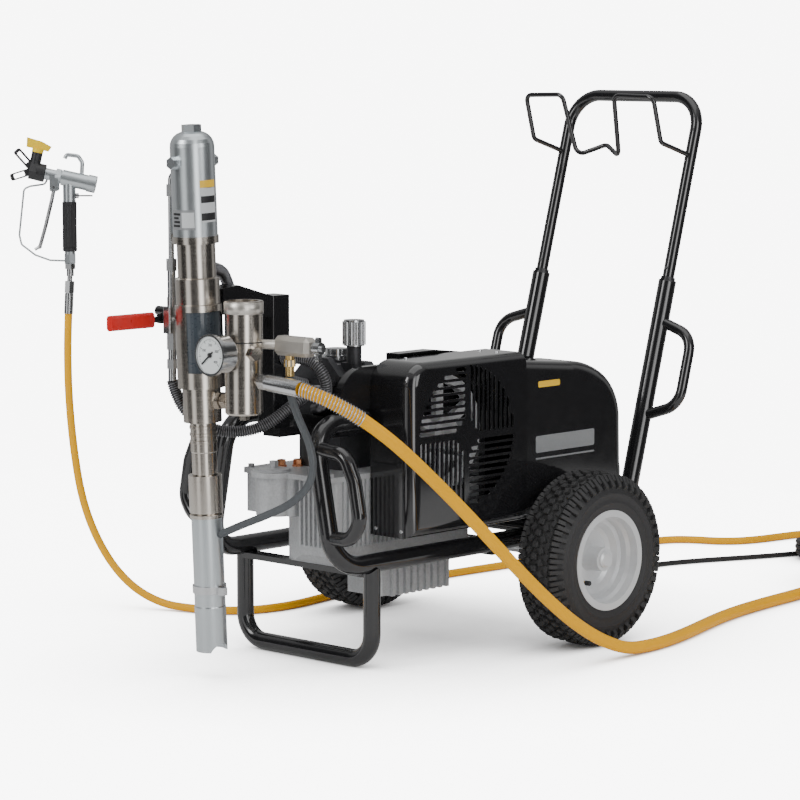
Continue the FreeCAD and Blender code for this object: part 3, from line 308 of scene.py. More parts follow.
def helix(line, radius, pitch, per_turn=14):
    """Points of a helix wound round a line, in even steps."""
    out, gone = [], 0.0
    heading = (line[1] - line[0]).normalized()
    side = heading.orthogonal().normalized()
    lengths = [0.0]
    for a, b in zip(line, line[1:]):
        lengths.append(lengths[-1] + (b - a).length)
    total, step = lengths[-1], pitch * MM / per_turn
    index = 0
    while gone < total:
        while index < len(lengths) - 2 and lengths[index + 1] < gone:
            index += 1
        a, b = line[index], line[index + 1]
        ahead = (b - a).normalized()
        side = (side - ahead * side.dot(ahead)).normalized()
        up = ahead.cross(side)
        point = a.lerp(b, (gone - lengths[index]) / max(1e-9, (b - a).length))
        angle = 2 * math.pi * gone / (pitch * MM)
        out.append(point + (side * math.cos(angle) + up * math.sin(angle)) * radius * MM)
        gone += step
    return out


def axis_frame(base, axis):
    """Matrix that stands +Z along an axis at a base point."""
    turn = Vector((0, 0, 1)).rotation_difference(Vector(axis)).to_matrix().to_4x4()
    return Matrix.Translation(base) @ turn


def turned(profile, base, axis, sides=48):
    """Mesh turned from (radius, height) points in millimetres, closed at its ends."""
    place = axis_frame(base, axis)
    vertices, faces = [], []
    for r, h in profile:
        vertices += [place @ Vector((r * MM * math.cos(a), r * MM * math.sin(a), h * MM))
                     for a in (2 * math.pi * k / sides for k in range(sides))]
    for i in range(len(profile) - 1):
        faces += [(i * sides + k, i * sides + (k + 1) % sides,
                   (i + 1) * sides + (k + 1) % sides, (i + 1) * sides + k)
                  for k in range(sides)]
    faces.append(tuple(reversed(range(sides))))
    faces.append(tuple(range(len(vertices) - sides, len(vertices))))
    return vertices, faces


def hoop(profile, base, axis, sides=64):
    """Ring turned from the closed outline of its section, open through its middle."""
    vertices, faces = turned(profile + profile[:1], base, axis, sides)
    last = len(profile) * sides
    faces = [tuple(v - last if v >= last else v for v in face) for face in faces[:-2]]
    return vertices[:last], faces


def rounded_panel(y_low, y_high, z_low, z_high, radius, thick, place):
    """Thin plate with rounded corners; place(u, v, w) puts its points."""
    outline = []
    for cu, cv, start in ((y_high - radius, z_high - radius, 0),
                          (y_low + radius, z_high - radius, 90),
                          (y_low + radius, z_low + radius, 180),
                          (y_high - radius, z_low + radius, 270)):
        outline += [(cu + radius * math.cos(math.radians(start + d)),
                     cv + radius * math.sin(math.radians(start + d))) for d in range(0, 91, 15)]
    count = len(outline)
    vertices = []
    for w, inset in ((0.0, 0.0), (thick * 0.7, 0.0), (thick, thick * 0.3)):
        mu, mv = (y_low + y_high) / 2, (z_low + z_high) / 2
        ku = 1 - inset / ((y_high - y_low) / 2)
        kv = 1 - inset / ((z_high - z_low) / 2)
        vertices += [place(mu + (u - mu) * ku, mv + (v - mv) * kv, w) for u, v in outline]
    faces = [(i * count + k, i * count + (k + 1) % count, (i + 1) * count + (k + 1) % count,
              (i + 1) * count + k) for i in range(2) for k in range(count)]
    faces += [tuple(reversed(range(count))), tuple(range(2 * count, 3 * count))]
    return vertices, faces


def joined(name, shapes):
    """One mesh from several (vertices, faces) shapes."""
    vertices, faces = [], []
    for more_vertices, more_faces in shapes:
        start = len(vertices)
        vertices += list(more_vertices)
        faces += [tuple(i + start for i in face) for face in more_faces]
    return mesh_of(name, vertices, faces)


def outward_faces(mesh):
    """The same mesh with its faces turned outwards."""
    work = bmesh.new()
    work.from_mesh(mesh)
    bmesh.ops.recalc_face_normals(work, faces=work.faces)
    work.to_mesh(mesh)
    work.free()
    return mesh


# ---- cords ----------------------------------------------------------------------------
MAIN_ROUTE = [
    (222, -664.5, 505), (246, -656, 498), (272, -636, 483), (300, -600, 456),
    (327, -548, 411), (348, -486, 351), (364, -422, 289), (376, -360, 228), (385, -300, 171),
    (391, -240, 120), (396, -178, 74), (400, -114, 38), (402, -50, 15), (400, 14, 11),
    (392, 84, 11), (373, 160, 11), (349, 238, 11), (325, 320, 11), (308, 404, 11),
    (297, 490, 11), (290, 574, 11), (282, 650, 11), (258, 722, 11)]
TAIL_ROUTE = [
    (193, 944, 66), (198, 998, 38), (205, 1056, 15), (208, 1120, 11),
    (198, 1184, 11), (168, 1240, 11), (120, 1272, 11.5), (64, 1282, 12.5)]
WHIP_ROUTE = [
    (-761, -314, 545), (-761.5, -316, 504), (-759, -319, 452), (-753, -323, 398),
    (-741, -328, 334), (-724, -333, 268), (-704, -338, 211), (-679, -340, 160),
    (-648, -338, 112), (-610, -332, 68), (-566, -318, 32), (-516, -296, 10),
    (-462, -280, 7.5), (-410, -262, 7.5), (-370, -224, 7.5), (-352, -170, 7.5),
    (-349, -108, 7.5), (-362, -34, 7.5), (-374, 56, 7.5), (-376, 160, 7.5),
    (-370, 268, 7.5), (-362, 376, 7.5), (-352, 480, 7.5), (-344, 588, 7.5),
    (-338, 690, 7.5), (-337, 780, 7.5), (-332, 860, 7.5), (-324, 930, 7.5),
    (-304, 978, 7.5), (-266, 1004, 7.5), (-222, 1020, 7.5), (-190, 1054, 7.5),
    (-172, 1106, 7.5), (-162, 1168, 7.5), (-149, 1228, 7.5), (-112, 1280, 7.5),
    (-56, 1303, 9), (4, 1300, 12.5)]
CABLE_ROUTE = [
    (-20, 174, 446), (-20, 212, 444), (-20, 246, 428), (-22, 272, 394), (-24, 288, 344),
    (-26, 300, 280), (-32, 312, 214), (-40, 330, 148), (-52, 356, 88), (-70, 394, 38),
    (-96, 448, 10), (-122, 514, 5), (-142, 586, 5), (-148, 660, 5), (-137, 732, 5),
    (-113, 799, 5), (-84, 861, 5), (-56, 919, 5), (-32, 975, 5)]
CABLE_TAIL_ROUTE = [(-10, 1068, 26), (-4, 1102, 19), (3, 1136, 21), (10, 1168, 25)]
HOSE_RADIUS = 11.0
WHIP_RADIUS = 7.5
CABLE_RADIUS = 5.0
COIL_CENTRE = (376.0, 888.0)
COIL_OUTER, COIL_INNER, COIL_START = 184.0, 118.0, 213.9
CABLE_COIL_CENTRE = (55.0, 1036.0)
CABLE_COIL_OUTER, CABLE_COIL_INNER, CABLE_COIL_START = 68.0, 48.0, 186.4
COIL_LAYERS = 4
CLIMB_TURN = 0.2


def coil_turns(centre, outer, inner, pitch, layers, start_deg, floor, per_turn=16):
    """Turns wound clockwise side by side in layers, from the outer bottom turn upwards."""
    span = (outer - inner) / pitch
    stages = []
    for layer in range(layers):
        stages.append(("across", span))
        if layer < layers - 1:
            stages.append(("climb", 1.0))
    stages[-1] = ("across", span + (start_deg - 180.0) / 360.0)
    points, done, layer, inward = [], 0.0, 0, True
    for kind, turns in stages:
        steps = max(4, int(round(turns * per_turn)))
        for i in range(steps):
            f = i / steps
            angle = math.radians(start_deg - 360.0 * (done + turns * f))
            if kind == "across":
                r = outer + (inner - outer) * f if inward else inner + (outer - inner) * f
                z = floor + layer * pitch
            else:
                r = inner if inward else outer
                z = floor + layer * pitch + pitch * min(1.0, f / CLIMB_TURN)
            points.append((centre[0] + r * math.cos(angle), centre[1] + r * math.sin(angle), z))
        done += turns
        if kind == "climb":
            layer += 1
            inward = not inward
    return points


main_coil = coil_turns(COIL_CENTRE, COIL_OUTER, COIL_INNER, 2 * HOSE_RADIUS, COIL_LAYERS,
                       COIL_START, HOSE_RADIUS)
main_points = MAIN_ROUTE + main_coil + [(192, 896, 77)] + TAIL_ROUTE
main_hose = add("paint_hose", nurbs("paint_hose", main_points, HOSE_RADIUS), "yellow_hose",
                "cart")
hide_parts("main_hose", "main_hose_coil")

whip_hose = add("whip_line", nurbs("whip_line", WHIP_ROUTE, WHIP_RADIUS), "yellow_hose", "cart")
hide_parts("whip_hose")

cable_coil = coil_turns(CABLE_COIL_CENTRE, CABLE_COIL_OUTER, CABLE_COIL_INNER,
                        2 * CABLE_RADIUS, COIL_LAYERS, CABLE_COIL_START, CABLE_RADIUS)
cable_points = CABLE_ROUTE + cable_coil + [(-13, 1040, 34)] + CABLE_TAIL_ROUTE
mains_cable = add("mains_cable", nurbs("mains_cable", cable_points, CABLE_RADIUS),
                  "black_cable", "cart")
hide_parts("power_cable", "power_cable_coil")


def curve_length(points):
    """Length in metres of the smooth spline of a route."""
    line = line_of(points)
    return sum((b - a).length for a, b in zip(line, line[1:]))


main_length = curve_length(main_points)
cable_length = curve_length(cable_points)
whip_length = curve_length(WHIP_ROUTE)

# spring that guards the hose behind its ferrule
GUARD_LENGTH = 114.0
GUARD_WIRE = 1.05
GUARD_RADIUS = 12.4
GUARD_PITCH = 5.2
guard_line = between(line_of(MAIN_ROUTE), 0.0, GUARD_LENGTH)
guard = add("hose_spring_guard",
            swept("hose_spring_guard", helix(guard_line, GUARD_RADIUS, GUARD_PITCH), GUARD_WIRE,
                  6), "zinc", "cart", smooth=True)

# ribbed sleeve where the mains cable leaves its box, narrower at each rib
SLEEVE_RIBS = 7
SLEEVE_RADIUS = 11.5
RIB_TAPER = 0.75
RIB_PITCH = 6.0
RIB_DEPTH = 1.6
strain_relief = []
for i in range(SLEEVE_RIBS):
    outer, start = SLEEVE_RADIUS - i * RIB_TAPER, i * RIB_PITCH
    strain_relief += [(outer, start), (outer, start + 4.0), (outer - RIB_DEPTH, start + 4.4),
                      (outer - RIB_DEPTH, start + 5.6)]
sleeve = outward_faces(joined("cable_sleeve", [
    turned(strain_relief, cart(-20, 197, 445), (0, 1, -0.03), 28)]))
cable_sleeve = add("cable_sleeve", sleeve, "black_plastic", "cart")

# ---- oil hoses in their spring guards ---------------------------------------------------
OIL_HOSE_RADIUS = 8.6
OIL_SPRING_RADIUS = 9.4
OIL_SPRING_PITCH = 3.9
OIL_SPRING_WIRE = 1.15
OIL_ROUTES = [
    [(-60, -688, 499.6), (-57, -679, 466), (-44, -658, 434), (-20, -624, 412),
     (12, -592, 410), (42, -562, 424), (62, -532, 452), (68, -496, 472),
     (54, -456, 474), (30, -413.5, 462)],
    [(20.3, -508, 528), (52, -504, 534), (84, -494, 526), (102, -486, 498),
     (92, -476, 468), (64, -458, 448), (36, -436, 440), (4, -413.5, 434)],
    [(-2, -652, 690), (-14, -618, 686), (-31, -588, 662), (-38, -564, 618),
     (-42, -540, 562), (-42, -500, 512), (-32, -456, 484), (-18, -413.5, 474)]]
for number, route in enumerate(OIL_ROUTES):
    hose_name, spring_name = "oil_hose_%d" % number, "oil_hose_spring_%d" % number
    hose = add(hose_name, nurbs(hose_name, route, OIL_HOSE_RADIUS), "spring_hose", "cart")
    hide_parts("oil_hoses")
    winding = helix(line_of(route), OIL_SPRING_RADIUS, OIL_SPRING_PITCH, 12)
    add(spring_name, swept(spring_name, winding, OIL_SPRING_WIRE, 5), "spring_hose", "cart",
        "spring_steel", smooth=True)

# ---- tyres ------------------------------------------------------------------------------
# the carcass from its bead over the ridged sidewall to the tread, as (radius, side) points
CARCASS = [(81, -33), (82.5, -40), (88, -44.5), (90.5, -44.8), (92, -46), (100, -47.0),
           (101, -48.3), (103, -48.4), (104, -47.4), (116, -47.2), (117, -48.4), (119.5, -48.2),
           (120.5, -46.8), (128, -44.6), (136, -40.6), (142, -35), (146, -26), (148, -12)]
BEAD = (80.5, 33)
TYRE_SIDES = 120
TREAD_COUNT = 46
BLOCK_SUNK = 1.2
# tread blocks as (side, step round the tyre, slant, length, width)
TREAD_BLOCKS = [(0.0, 0.0, 0.0, 11.5, 12.0), (13.4, 0.5, 0.5, 13.0, 9.6),
                (-13.4, 0.5, -0.5, 13.0, 9.6), (26.0, 0.0, -0.35, 13.5, 9.2),
                (-26.0, 0.0, 0.35, 13.5, 9.2)]
# long and short shoulder lugs as (step round the tyre, radius, side, drop down the sidewall)
SHOULDER_LUGS = [(0.25, 139.3, 40.0, 28.0), (0.75, 143.9, 35.8, 17.0)]
LUG_LENGTH = 8.6
LUG_HEIGHT = 11.0
LUG_SUNK = 4.5


def block(centre, tangent, across, normal, length, width, height, slant=0.0):
    """Tapered tread block on the carcass."""
    t = tangent * math.cos(slant) + across * math.sin(slant)
    w = across * math.cos(slant) - tangent * math.sin(slant)
    vertices = []
    for level, scale in ((0.0, 1.0), (0.82, 0.9), (1.0, 0.8)):
        for a, b in ((-1, -1), (1, -1), (1, 1), (-1, 1)):
            vertices.append(centre + (t * a * length * scale / 2 + w * b * width * scale / 2
                                      + normal * (level * height - BLOCK_SUNK)) * MM)
    faces = [(3, 2, 1, 0), (8, 9, 10, 11)]
    for i in (0, 4):
        faces += [(i + k, i + (k + 1) % 4, i + 4 + (k + 1) % 4, i + 4 + k) for k in range(4)]
    return vertices, faces


def round_tyre(step):
    """Directions away from the axle and round it, at a step of the tread."""
    angle = 2 * math.pi * step / TREAD_COUNT
    return (Vector((0, math.cos(angle), math.sin(angle))),
            Vector((0, -math.sin(angle), math.cos(angle))))


def tread_block(middle, step, x, slant, length, width):
    """Block of the tread, which is rounded across the tyre."""
    radial, tangent = round_tyre(step)
    base = 148.4 - 5.2 * (x / 33.0) ** 2
    top = 154.6 - 9.0 * (x / 39.0) ** 2
    return block(middle + radial * base * MM + Vector((x * MM, 0, 0)), tangent,
                 Vector((1, 0, 0)), radial, length, width, top - base + BLOCK_SUNK, slant)


def shoulder_lug(middle, step, way, radius, x, drop):
    """Lug that runs down the tyre's shoulder on one side."""
    radial, tangent = round_tyre(step)
    normal = (radial * 0.60 + Vector((way * 0.80, 0, 0))).normalized()
    across = normal.cross(tangent).normalized()
    base = (middle + radial * radius * MM + Vector((way * x * MM, 0, 0))
            - normal * LUG_SUNK * MM)
    return block(base, tangent, across, normal, LUG_LENGTH, drop, LUG_HEIGHT)


def make_tyre(word):
    """Carcass with its tread blocks and shoulder lugs."""
    low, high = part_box("tyre_" + word)
    middle = (low + high) / 2
    bead_radius, bead_side = BEAD
    profile = CARCASS + [(r, -x) for r, x in reversed(CARCASS)]
    profile += [(bead_radius, bead_side), (bead_radius, -bead_side)]
    shapes = [hoop(profile, middle, (1, 0, 0), TYRE_SIDES)]
    for n in range(TREAD_COUNT):
        for x, offset, slant, length, width in TREAD_BLOCKS:
            shapes.append(tread_block(middle, n + offset, x, slant, length, width))
        for way in (-1, 1):
            for offset, radius, x, drop in SHOULDER_LUGS:
                shapes.append(shoulder_lug(middle, n + offset, way, radius, x, drop))
    mesh = outward_faces(joined("tread_" + word, shapes))
    obj = add("tread_" + word, mesh, "tyre", "wheel_" + word)
    for face in mesh.polygons:
        face.use_smooth = face.index < len(profile) * TYRE_SIDES
    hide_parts("tyre_" + word)


make_tyre("left")
make_tyre("right")

# ---- gauge ------------------------------------------------------------------------------
GAUGE = (90.0, -708.0, 557.0)
FACE_Y = GAUGE[1] - 33.2
DIAL_RADIUS = 30.4
DIAL_HOLE = 2.2
DIAL_THICK = 0.5
SCALE_START, SCALE_SWEEP = -130, 260
SCALE_STEPS = 40
MARK_OUTER = 27.0
MARK_TOP = 0.75
NUMBERS = 5
NUMBER_RADIUS = 16.5


def dial_point(radius, degrees, lift=0.0):
    """Point on the dial, clockwise from its top as its reader sees it."""
    a = math.radians(degrees)
    return cart(GAUGE[0] + radius * math.sin(a), FACE_Y - lift, GAUGE[2] + radius * math.cos(a))


def scale_mark(degrees, long):
    """Thin raised bar of the scale, longer and wider at every fifth step."""
    inner = 21.5 if long else 24.5
    side = math.degrees((0.45 if long else 0.22) / 25)
    vertices = [dial_point(radius, degrees + turn, lift) for lift in (DIAL_THICK, MARK_TOP)
                for radius, turn in ((inner, -side), (MARK_OUTER, -side), (MARK_OUTER, side),
                                     (inner, side))]
    return vertices, [(0, 1, 2, 3), (7, 6, 5, 4), (0, 4, 5, 1), (1, 5, 6, 2), (2, 6, 7, 3),
                      (3, 7, 4, 0)]


dial_outline = [(DIAL_HOLE, 0), (DIAL_RADIUS, 0), (DIAL_RADIUS, DIAL_THICK),
                (DIAL_HOLE, DIAL_THICK)]
dial = outward_faces(joined("gauge_dial", [
    turned(dial_outline, cart(GAUGE[0], FACE_Y, GAUGE[2]), (0, -1, 0), 64)]))
add("gauge_dial", dial, "zinc", "cart", "dial")
marks = [scale_mark(SCALE_START + i * SCALE_SWEEP / SCALE_STEPS, i % 5 == 0)
         for i in range(SCALE_STEPS + 1)]
add("gauge_marks", outward_faces(joined("gauge_marks", marks)), "black_plastic", "cart",
    "print_and_shade_black")
for i in range(NUMBERS):
    text = bpy.data.curves.new("gauge_number_%d" % i, "FONT")
    text.body = str(i * 100)
    text.size = 6.2 * MM
    text.extrude = 0.1 * MM
    text.align_x = "CENTER"
    text.align_y = "CENTER"
    number = bpy.data.objects.new("gauge_number_%d" % i, text)
    bpy.context.collection.objects.link(number)
    degrees = SCALE_START + i * SCALE_SWEEP / (NUMBERS - 1)
    number.location = dial_point(NUMBER_RADIUS, degrees, 0.62)
    number.rotation_euler = (math.radians(90), 0, 0)
    text.materials.append(MATERIALS["print_and_shade_black"])
    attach(number, "cart")

# ---- gun grip ---------------------------------------------------------------------------
GUN_LOW, GUN_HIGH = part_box("gun_grip")
GRIP = (GUN_LOW + GUN_HIGH) / 2
GRIP_SIDES = 160
FLUTES = 20
FLUTE_DEPTH = 0.8
FLUTE_LOW, FLUTE_HIGH = 6, 89
GRIP_OUTLINE = [(0, 12.2), (1.2, 13.8), (6, 13.9), (7, 13.2), (8, 13.9), (47, 13.6), (86, 13.9),
                (87, 13.2), (88, 13.9), (93.6, 13.7), (94.9, 12.0)]


def grip_ring(height, radius):
    """Ring of the grip, fluted between its two end bands."""
    depth = FLUTE_DEPTH * (FLUTE_LOW < height < FLUTE_HIGH)
    ring = []
    for k in range(GRIP_SIDES):
        a = 2 * math.pi * k / GRIP_SIDES
        r = radius - depth * (0.5 + 0.5 * math.cos(a * FLUTES))
        ring.append(Vector((math.cos(a) * r, math.sin(a) * r, height)))
    return ring


rows = [grip_ring(height, radius) for height, radius in GRIP_OUTLINE]
grip_vertices = [Vector((GRIP.x, GRIP.y, GUN_LOW.z)) + v * MM for ring in rows for v in ring]
grip_faces = [(i * GRIP_SIDES + k, i * GRIP_SIDES + (k + 1) % GRIP_SIDES,
               (i + 1) * GRIP_SIDES + (k + 1) % GRIP_SIDES, (i + 1) * GRIP_SIDES + k)
              for i in range(len(rows) - 1) for k in range(GRIP_SIDES)]
grip_faces += [tuple(reversed(range(GRIP_SIDES))),
               tuple(range((len(rows) - 1) * GRIP_SIDES, len(rows) * GRIP_SIDES))]
grip = add("ribbed_grip", mesh_of("ribbed_grip", grip_vertices, grip_faces), "black_plastic",
           "gun")
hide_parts("gun_grip")

# ---- plates and screws -------------------------------------------------------------------
COVER_X = 200.0
COVER_FRONT_Y = -379.6
COVER_TOP_Z = 520.6
COVER_REAR_Y = 187.4
COVER_SCREW = 3.6


def on_cover(y, z, w):
    """Point on the cover's side, w above its face."""
    return cart(COVER_X + w, y, z)


def cover_panel(name, y0, y1, z0, z1, radius, thick, finish):
    """Blank plate on the cover's side."""
    mesh = outward_faces(joined(name, [rounded_panel(y0, y1, z0, z1, radius, thick, on_cover)]))
    add(name, mesh, "cover_plastic", "cart", finish)


def screw(base, axis, r, tall=2.6):
    """Pan-head screw with a socket."""
    return turned([(r * 0.98, -0.6), (r, 0.4), (r * 0.92, tall * 0.7), (r * 0.7, tall),
                   (r * 0.42, tall), (r * 0.4, tall * 0.35), (0.1, tall * 0.35)], base, axis, 20)


cover_screws = [screw(cart(x, COVER_FRONT_Y, 234), (0, -1, 0), COVER_SCREW) for x in (116, 176)]
cover_screws += [screw(cart(x, y, COVER_TOP_Z), (0, 0, 1), COVER_SCREW) for x, y in
                 ((120, -120), (120, -310), (160, -120))]
cover_screws += [screw(cart(x, COVER_REAR_Y, 300), (0, 1, 0), COVER_SCREW) for x in (116, 168)]
add("cover_screws", outward_faces(joined("cover_screws", cover_screws)), "zinc", "cart")

cover_panel("name_plate", -60, 100, 340, 370, 4, 1.2, "label_grey")
cover_panel("name_line", -60, 100, 328, 331, 1.4, 1.0, "label_grey")
cover_panel("name_bar", -54, 4, 456, 467, 3, 1.0, "label_yellow")

# black ring at the filter's groove, which is painted shade in the groove, and the matt cap band
# of the filter
FILTER_X, FILTER_Y = 90.0, -666.0
groove_shade = hoop([(31.6, 0), (32.2, 0), (32.2, 1.8), (31.6, 1.8)],
              cart(FILTER_X, FILTER_Y, 573.1), (0, 0, 1))
add("filter_groove_shade", outward_faces(joined("filter_groove_shade", [groove_shade])), "stainless", "cart",
    "print_and_shade_black", True)
band = hoop([(32.0, 0), (32.8, 0.4), (32.8, 19.0), (32.0, 19.4)],
            cart(FILTER_X, FILTER_Y, 620.4), (0, 0, 1))
add("filter_cap_band", outward_faces(joined("filter_cap_band", [band])), "stainless", "cart",
    "nickel", True)

# tyre valves standing in the rims
VALVE_DEPTH, VALVE_FORWARD, VALVE_DOWN = 30, 43, 37
CAP_AT = 11
for word, side in (("left", -1), ("right", 1)):
    low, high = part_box("rim_" + word)
    hub = (low + high) / 2
    outer = high.x if side > 0 else low.x
    foot = Vector((outer - side * VALVE_DEPTH * MM, hub.y - VALVE_FORWARD * MM,
                   hub.z - VALVE_DOWN * MM))
    stem = [turned([(5.2, 0), (4.4, 3), (3.4, 4), (3.4, 12)], foot, (side, 0, 0), 24)]
    add("valve_stem_" + word, outward_faces(joined("valve_stem_" + word, stem)), "zinc",
        "wheel_" + word, "brass")
    cap = [turned([(4.4, 0), (4.4, 9), (3.6, 10)], foot + Vector((side * CAP_AT * MM, 0, 0)),
                  (side, 0, 0), 24)]
    add("valve_cap_" + word, outward_faces(joined("valve_cap_" + word, cap)), "black_plastic",
        "wheel_" + word)

# brass union under the relief valve and copper plugs on the tank
UNION_X, UNION_Y = 165, -634
union = [turned([(7.3, 0), (7.3, 35)], cart(UNION_X, UNION_Y, 520), (0, 0, 1), 32),
         turned([(9.2, 0), (10.2, 1), (10.2, 11), (9.2, 12)], cart(UNION_X, UNION_Y, 535.5),
                (0, 0, 1), 6)]
add("brass_union", outward_faces(joined("brass_union", union)), "zinc", "cart", "brass")
LID_Z = 328
WASHER = 3
plugs = []
for x, y in ((-66, -428), (-50, -404)):
    plugs += [turned([(9.5, 0), (9.5, WASHER)], cart(x, y, LID_Z), (0, 0, 1), 32),
              turned([(7.6, 0), (8.0, 0.8), (8.0, 9), (7.2, 10)], cart(x, y, LID_Z + WASHER),
                     (0, 0, 1), 6)]
add("copper_plugs", outward_faces(joined("copper_plugs", plugs)), "zinc", "cart", "copper")

# ---- plates and rings on the pump ---------------------------------------------------------
PUMP_BASE = (0.0, -658.0, 46.0)
PUMP_LEAN = math.radians(2.5)
PUMP_AXIS = (0.0, -math.sin(PUMP_LEAN), math.cos(PUMP_LEAN))
pump_place = axis_frame(cart(*PUMP_BASE), PUMP_AXIS)


def dome_label(name, low, high, middle_deg, half_deg, radius, finish, thick=0.5):
    """Thin plate bent round the pump, between two heights and two angles."""
    steps, rows = 14, []
    for r in (radius, radius + thick):
        for h in (low, high):
            rows.append([pump_place @ Vector((r * MM * math.cos(a), r * MM * math.sin(a), h * MM))
                         for a in (math.radians(middle_deg - half_deg + 2 * half_deg * k / steps)
                                   for k in range(steps + 1))])
    count = steps + 1
    vertices = [v for row in rows for v in row]
    faces = []
    for i, j in ((0, 1), (1, 3), (3, 2), (2, 0)):
        faces += [(i * count + k, i * count + k + 1, j * count + k + 1, j * count + k)
                  for k in range(steps)]
    faces += [(0, count, 3 * count, 2 * count),
              (count - 1, 2 * count - 1, 4 * count - 1, 3 * count - 1)]
    mesh = outward_faces(mesh_of(name, vertices, faces))
    add(name, mesh, "bright_aluminium", "cart", finish)


PLATE_RADIUS = 36.7
PRINT_RADIUS = 37.1
PRINT_THICK = 0.3
dome_label("window_guard", 472, 579, -21, 62, 36.4, "guard_blue", 0.8)
dome_label("rating_plate", 712, 745, -80, 38, PLATE_RADIUS, "label_grey")
dome_label("rating_blank", 716, 741, -61, 17, PRINT_RADIUS, "label_pale", PRINT_THICK)
for i in range(4):
    dome_label("rating_line_%d" % i, 717 + i * 6.4, 720.6 + i * 6.4, -98 + (i % 2) * 2,
               14 - (i % 3) * 2, PRINT_RADIUS, "print_and_shade_black", PRINT_THICK)
dome_label("pressure_plate_top", 781, 793, -2, 25, PLATE_RADIUS, "label_yellow")
dome_label("pressure_plate_low", 724, 780, -2, 25, PLATE_RADIUS, "label_pale")
for i, (low_h, high_h) in enumerate(((727, 739), (756, 767))):
    dome_label("pressure_line_%d" % i, low_h, high_h, -2, 23, PRINT_RADIUS, "print_and_shade_black",
               PRINT_THICK)
ring_shapes = []
for ring_low in (378, 366, 354):
    ring_shapes.append(hoop([(21.8, ring_low), (23.2, ring_low + 1), (23.2, ring_low + 5),
                             (21.8, ring_low + 6)], cart(*PUMP_BASE), PUMP_AXIS))
add("pump_rings", outward_faces(joined("pump_rings", ring_shapes)), "stainless", "cart")

# ---- floor and lights ---------------------------------------------------------------------
FLOOR_HALF = 1.9
floor = bpy.data.objects.new("floor", mesh_of("floor", [
    (-FLOOR_HALF, -FLOOR_HALF, 0), (FLOOR_HALF, -FLOOR_HALF, 0), (FLOOR_HALF, FLOOR_HALF, 0),
    (-FLOOR_HALF, FLOOR_HALF, 0)], [(0, 1, 2, 3)]))
floor.location.z = -0.5 * MM
bpy.context.collection.objects.link(floor)
# The floor glows for camera rays only; ambient occlusion darkens that glow near the machine,
# which is a painted contact shadow.
FLOOR_GLOW = 7.4
SHADOW_POWER = 1.9
floor_finish = material("floor", [0.92, 0.92, 0.92], 0.75, grain=3.0, shade=0.005, bump=0.0,
                        spread=0.02)
floor.data.materials.append(floor_finish)
floor_nodes, floor_links = floor_finish.node_tree.nodes, floor_finish.node_tree.links
floor_path = floor_nodes.new("ShaderNodeLightPath")
floor_level = floor_nodes.new("ShaderNodeMath")
floor_level.operation = "MULTIPLY"
floor_level.inputs[1].default_value = FLOOR_GLOW
floor_links.new(floor_path.outputs["Is Camera Ray"], floor_level.inputs[0])
floor_shader = floor_nodes["Principled BSDF"]
floor_shader.inputs["Emission Color"].default_value = (1.0, 1.0, 1.0, 1.0)
# ambient occlusion that darkens the floor's glow: painted shadow
floor_shade = floor_nodes.new("ShaderNodeAmbientOcclusion")
floor_shade.samples = 16
floor_shade.inputs["Distance"].default_value = 0.55
floor_soft = floor_nodes.new("ShaderNodeMath")
floor_soft.operation = "POWER"
floor_soft.inputs[1].default_value = SHADOW_POWER
floor_links.new(floor_shade.outputs["AO"], floor_soft.inputs[0])
floor_glow_painted_shadow = floor_nodes.new("ShaderNodeMath")
floor_glow_painted_shadow.operation = "MULTIPLY"
floor_links.new(floor_level.outputs["Value"], floor_glow_painted_shadow.inputs[0])
floor_links.new(floor_soft.outputs["Value"], floor_glow_painted_shadow.inputs[1])
floor_links.new(floor_glow_painted_shadow.outputs["Value"], floor_shader.inputs["Emission Strength"])

ROOM_GREY = (0.55, 0.55, 0.55, 1.0)
BACKDROP_WHITE = (8.0, 8.0, 8.0, 1.0)
world = bpy.context.scene.world or bpy.data.worlds.new("world")
bpy.context.scene.world = world
world.use_nodes = True
sky, sky_links = world.node_tree.nodes, world.node_tree.links
path = sky.new("ShaderNodeLightPath")
direction = sky.new("ShaderNodeTexCoord")
around = sky.new("ShaderNodeTexGradient")
around.gradient_type = "RADIAL"
sky_links.new(direction.outputs["Generated"], around.inputs["Vector"])
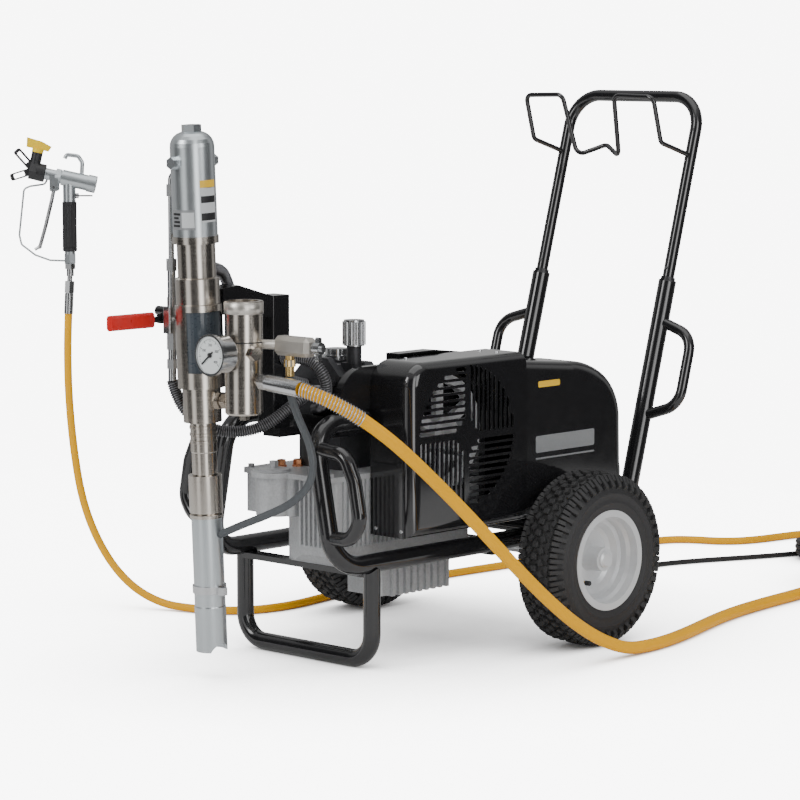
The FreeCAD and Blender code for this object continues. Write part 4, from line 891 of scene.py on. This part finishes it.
# soft boxes and dark gaps of the studio as (turn, brightness); the camera is at turn 0.367
panels = sky.new("ShaderNodeValToRGB")
PANELS = [(0.0, 0.45), (0.08, 0.4), (0.11, 0.03), (0.20, 0.03), (0.22, 1.3), (0.265, 1.3),
          (0.285, 0.05), (0.395, 0.08), (0.415, 3.6), (0.45, 3.6), (0.47, 0.06), (0.66, 0.02),
          (0.69, 0.5), (0.73, 0.5), (0.75, 0.12), (0.84, 0.45), (1.0, 0.45)]
for _ in range(len(PANELS) - 2):
    panels.color_ramp.elements.new(0.5)
for element, (place, level) in zip(panels.color_ramp.elements, PANELS):
    element.position = place
    element.color = (level, level, level, 1.0)
sky_links.new(around.outputs["Fac"], panels.inputs["Fac"])
height = sky.new("ShaderNodeSeparateXYZ")
sky_links.new(direction.outputs["Generated"], height.inputs["Vector"])
overhead = sky.new("ShaderNodeMapRange")
overhead.inputs["From Min"].default_value = 0.55
overhead.inputs["From Max"].default_value = 0.75
sky_links.new(height.outputs["Z"], overhead.inputs["Value"])
ceiling = sky.new("ShaderNodeMix")
ceiling.data_type = "RGBA"
ceiling.inputs["B"].default_value = ROOM_GREY
sky_links.new(overhead.outputs["Result"], ceiling.inputs["Factor"])
sky_links.new(panels.outputs["Color"], ceiling.inputs["A"])
soft = sky.new("ShaderNodeMix")
soft.data_type = "RGBA"
soft.inputs["B"].default_value = ROOM_GREY
sky_links.new(path.outputs["Is Diffuse Ray"], soft.inputs["Factor"])
sky_links.new(ceiling.outputs["Result"], soft.inputs["A"])
backdrop = sky.new("ShaderNodeMix")
backdrop.data_type = "RGBA"
backdrop.inputs["B"].default_value = BACKDROP_WHITE
sky_links.new(path.outputs["Is Camera Ray"], backdrop.inputs["Factor"])
sky_links.new(soft.outputs["Result"], backdrop.inputs["A"])
sky_links.new(backdrop.outputs["Result"], sky["Background"].inputs["Color"])
sky["Background"].inputs["Strength"].default_value = 1.0


def area_light(name, place, target, width, height, power):
    """Rectangular light that looks at a target."""
    data = bpy.data.lights.new(name, "AREA")
    data.shape = "RECTANGLE"
    data.size = width
    data.size_y = height
    data.energy = power
    light = bpy.data.objects.new(name, data)
    light.location = place
    aim = Vector(target) - Vector(place)
    light.rotation_euler = aim.to_track_quat("-Z", "Y").to_euler()
    bpy.context.collection.objects.link(light)


area_light("key", cart(-900, -3800, 2600), cart(0, -200, 400), 1.4, 2.2, 60.0)
area_light("fill", cart(3600, -300, 1700), cart(0, -100, 350), 1.2, 2.4, 30.0)
area_light("top", cart(0, -200, 3600), cart(0, -200, 0), 3.0, 3.0, 34.0)

# ---- end ----------------------------------------------------------------------------------
low, high = CAD_BOX
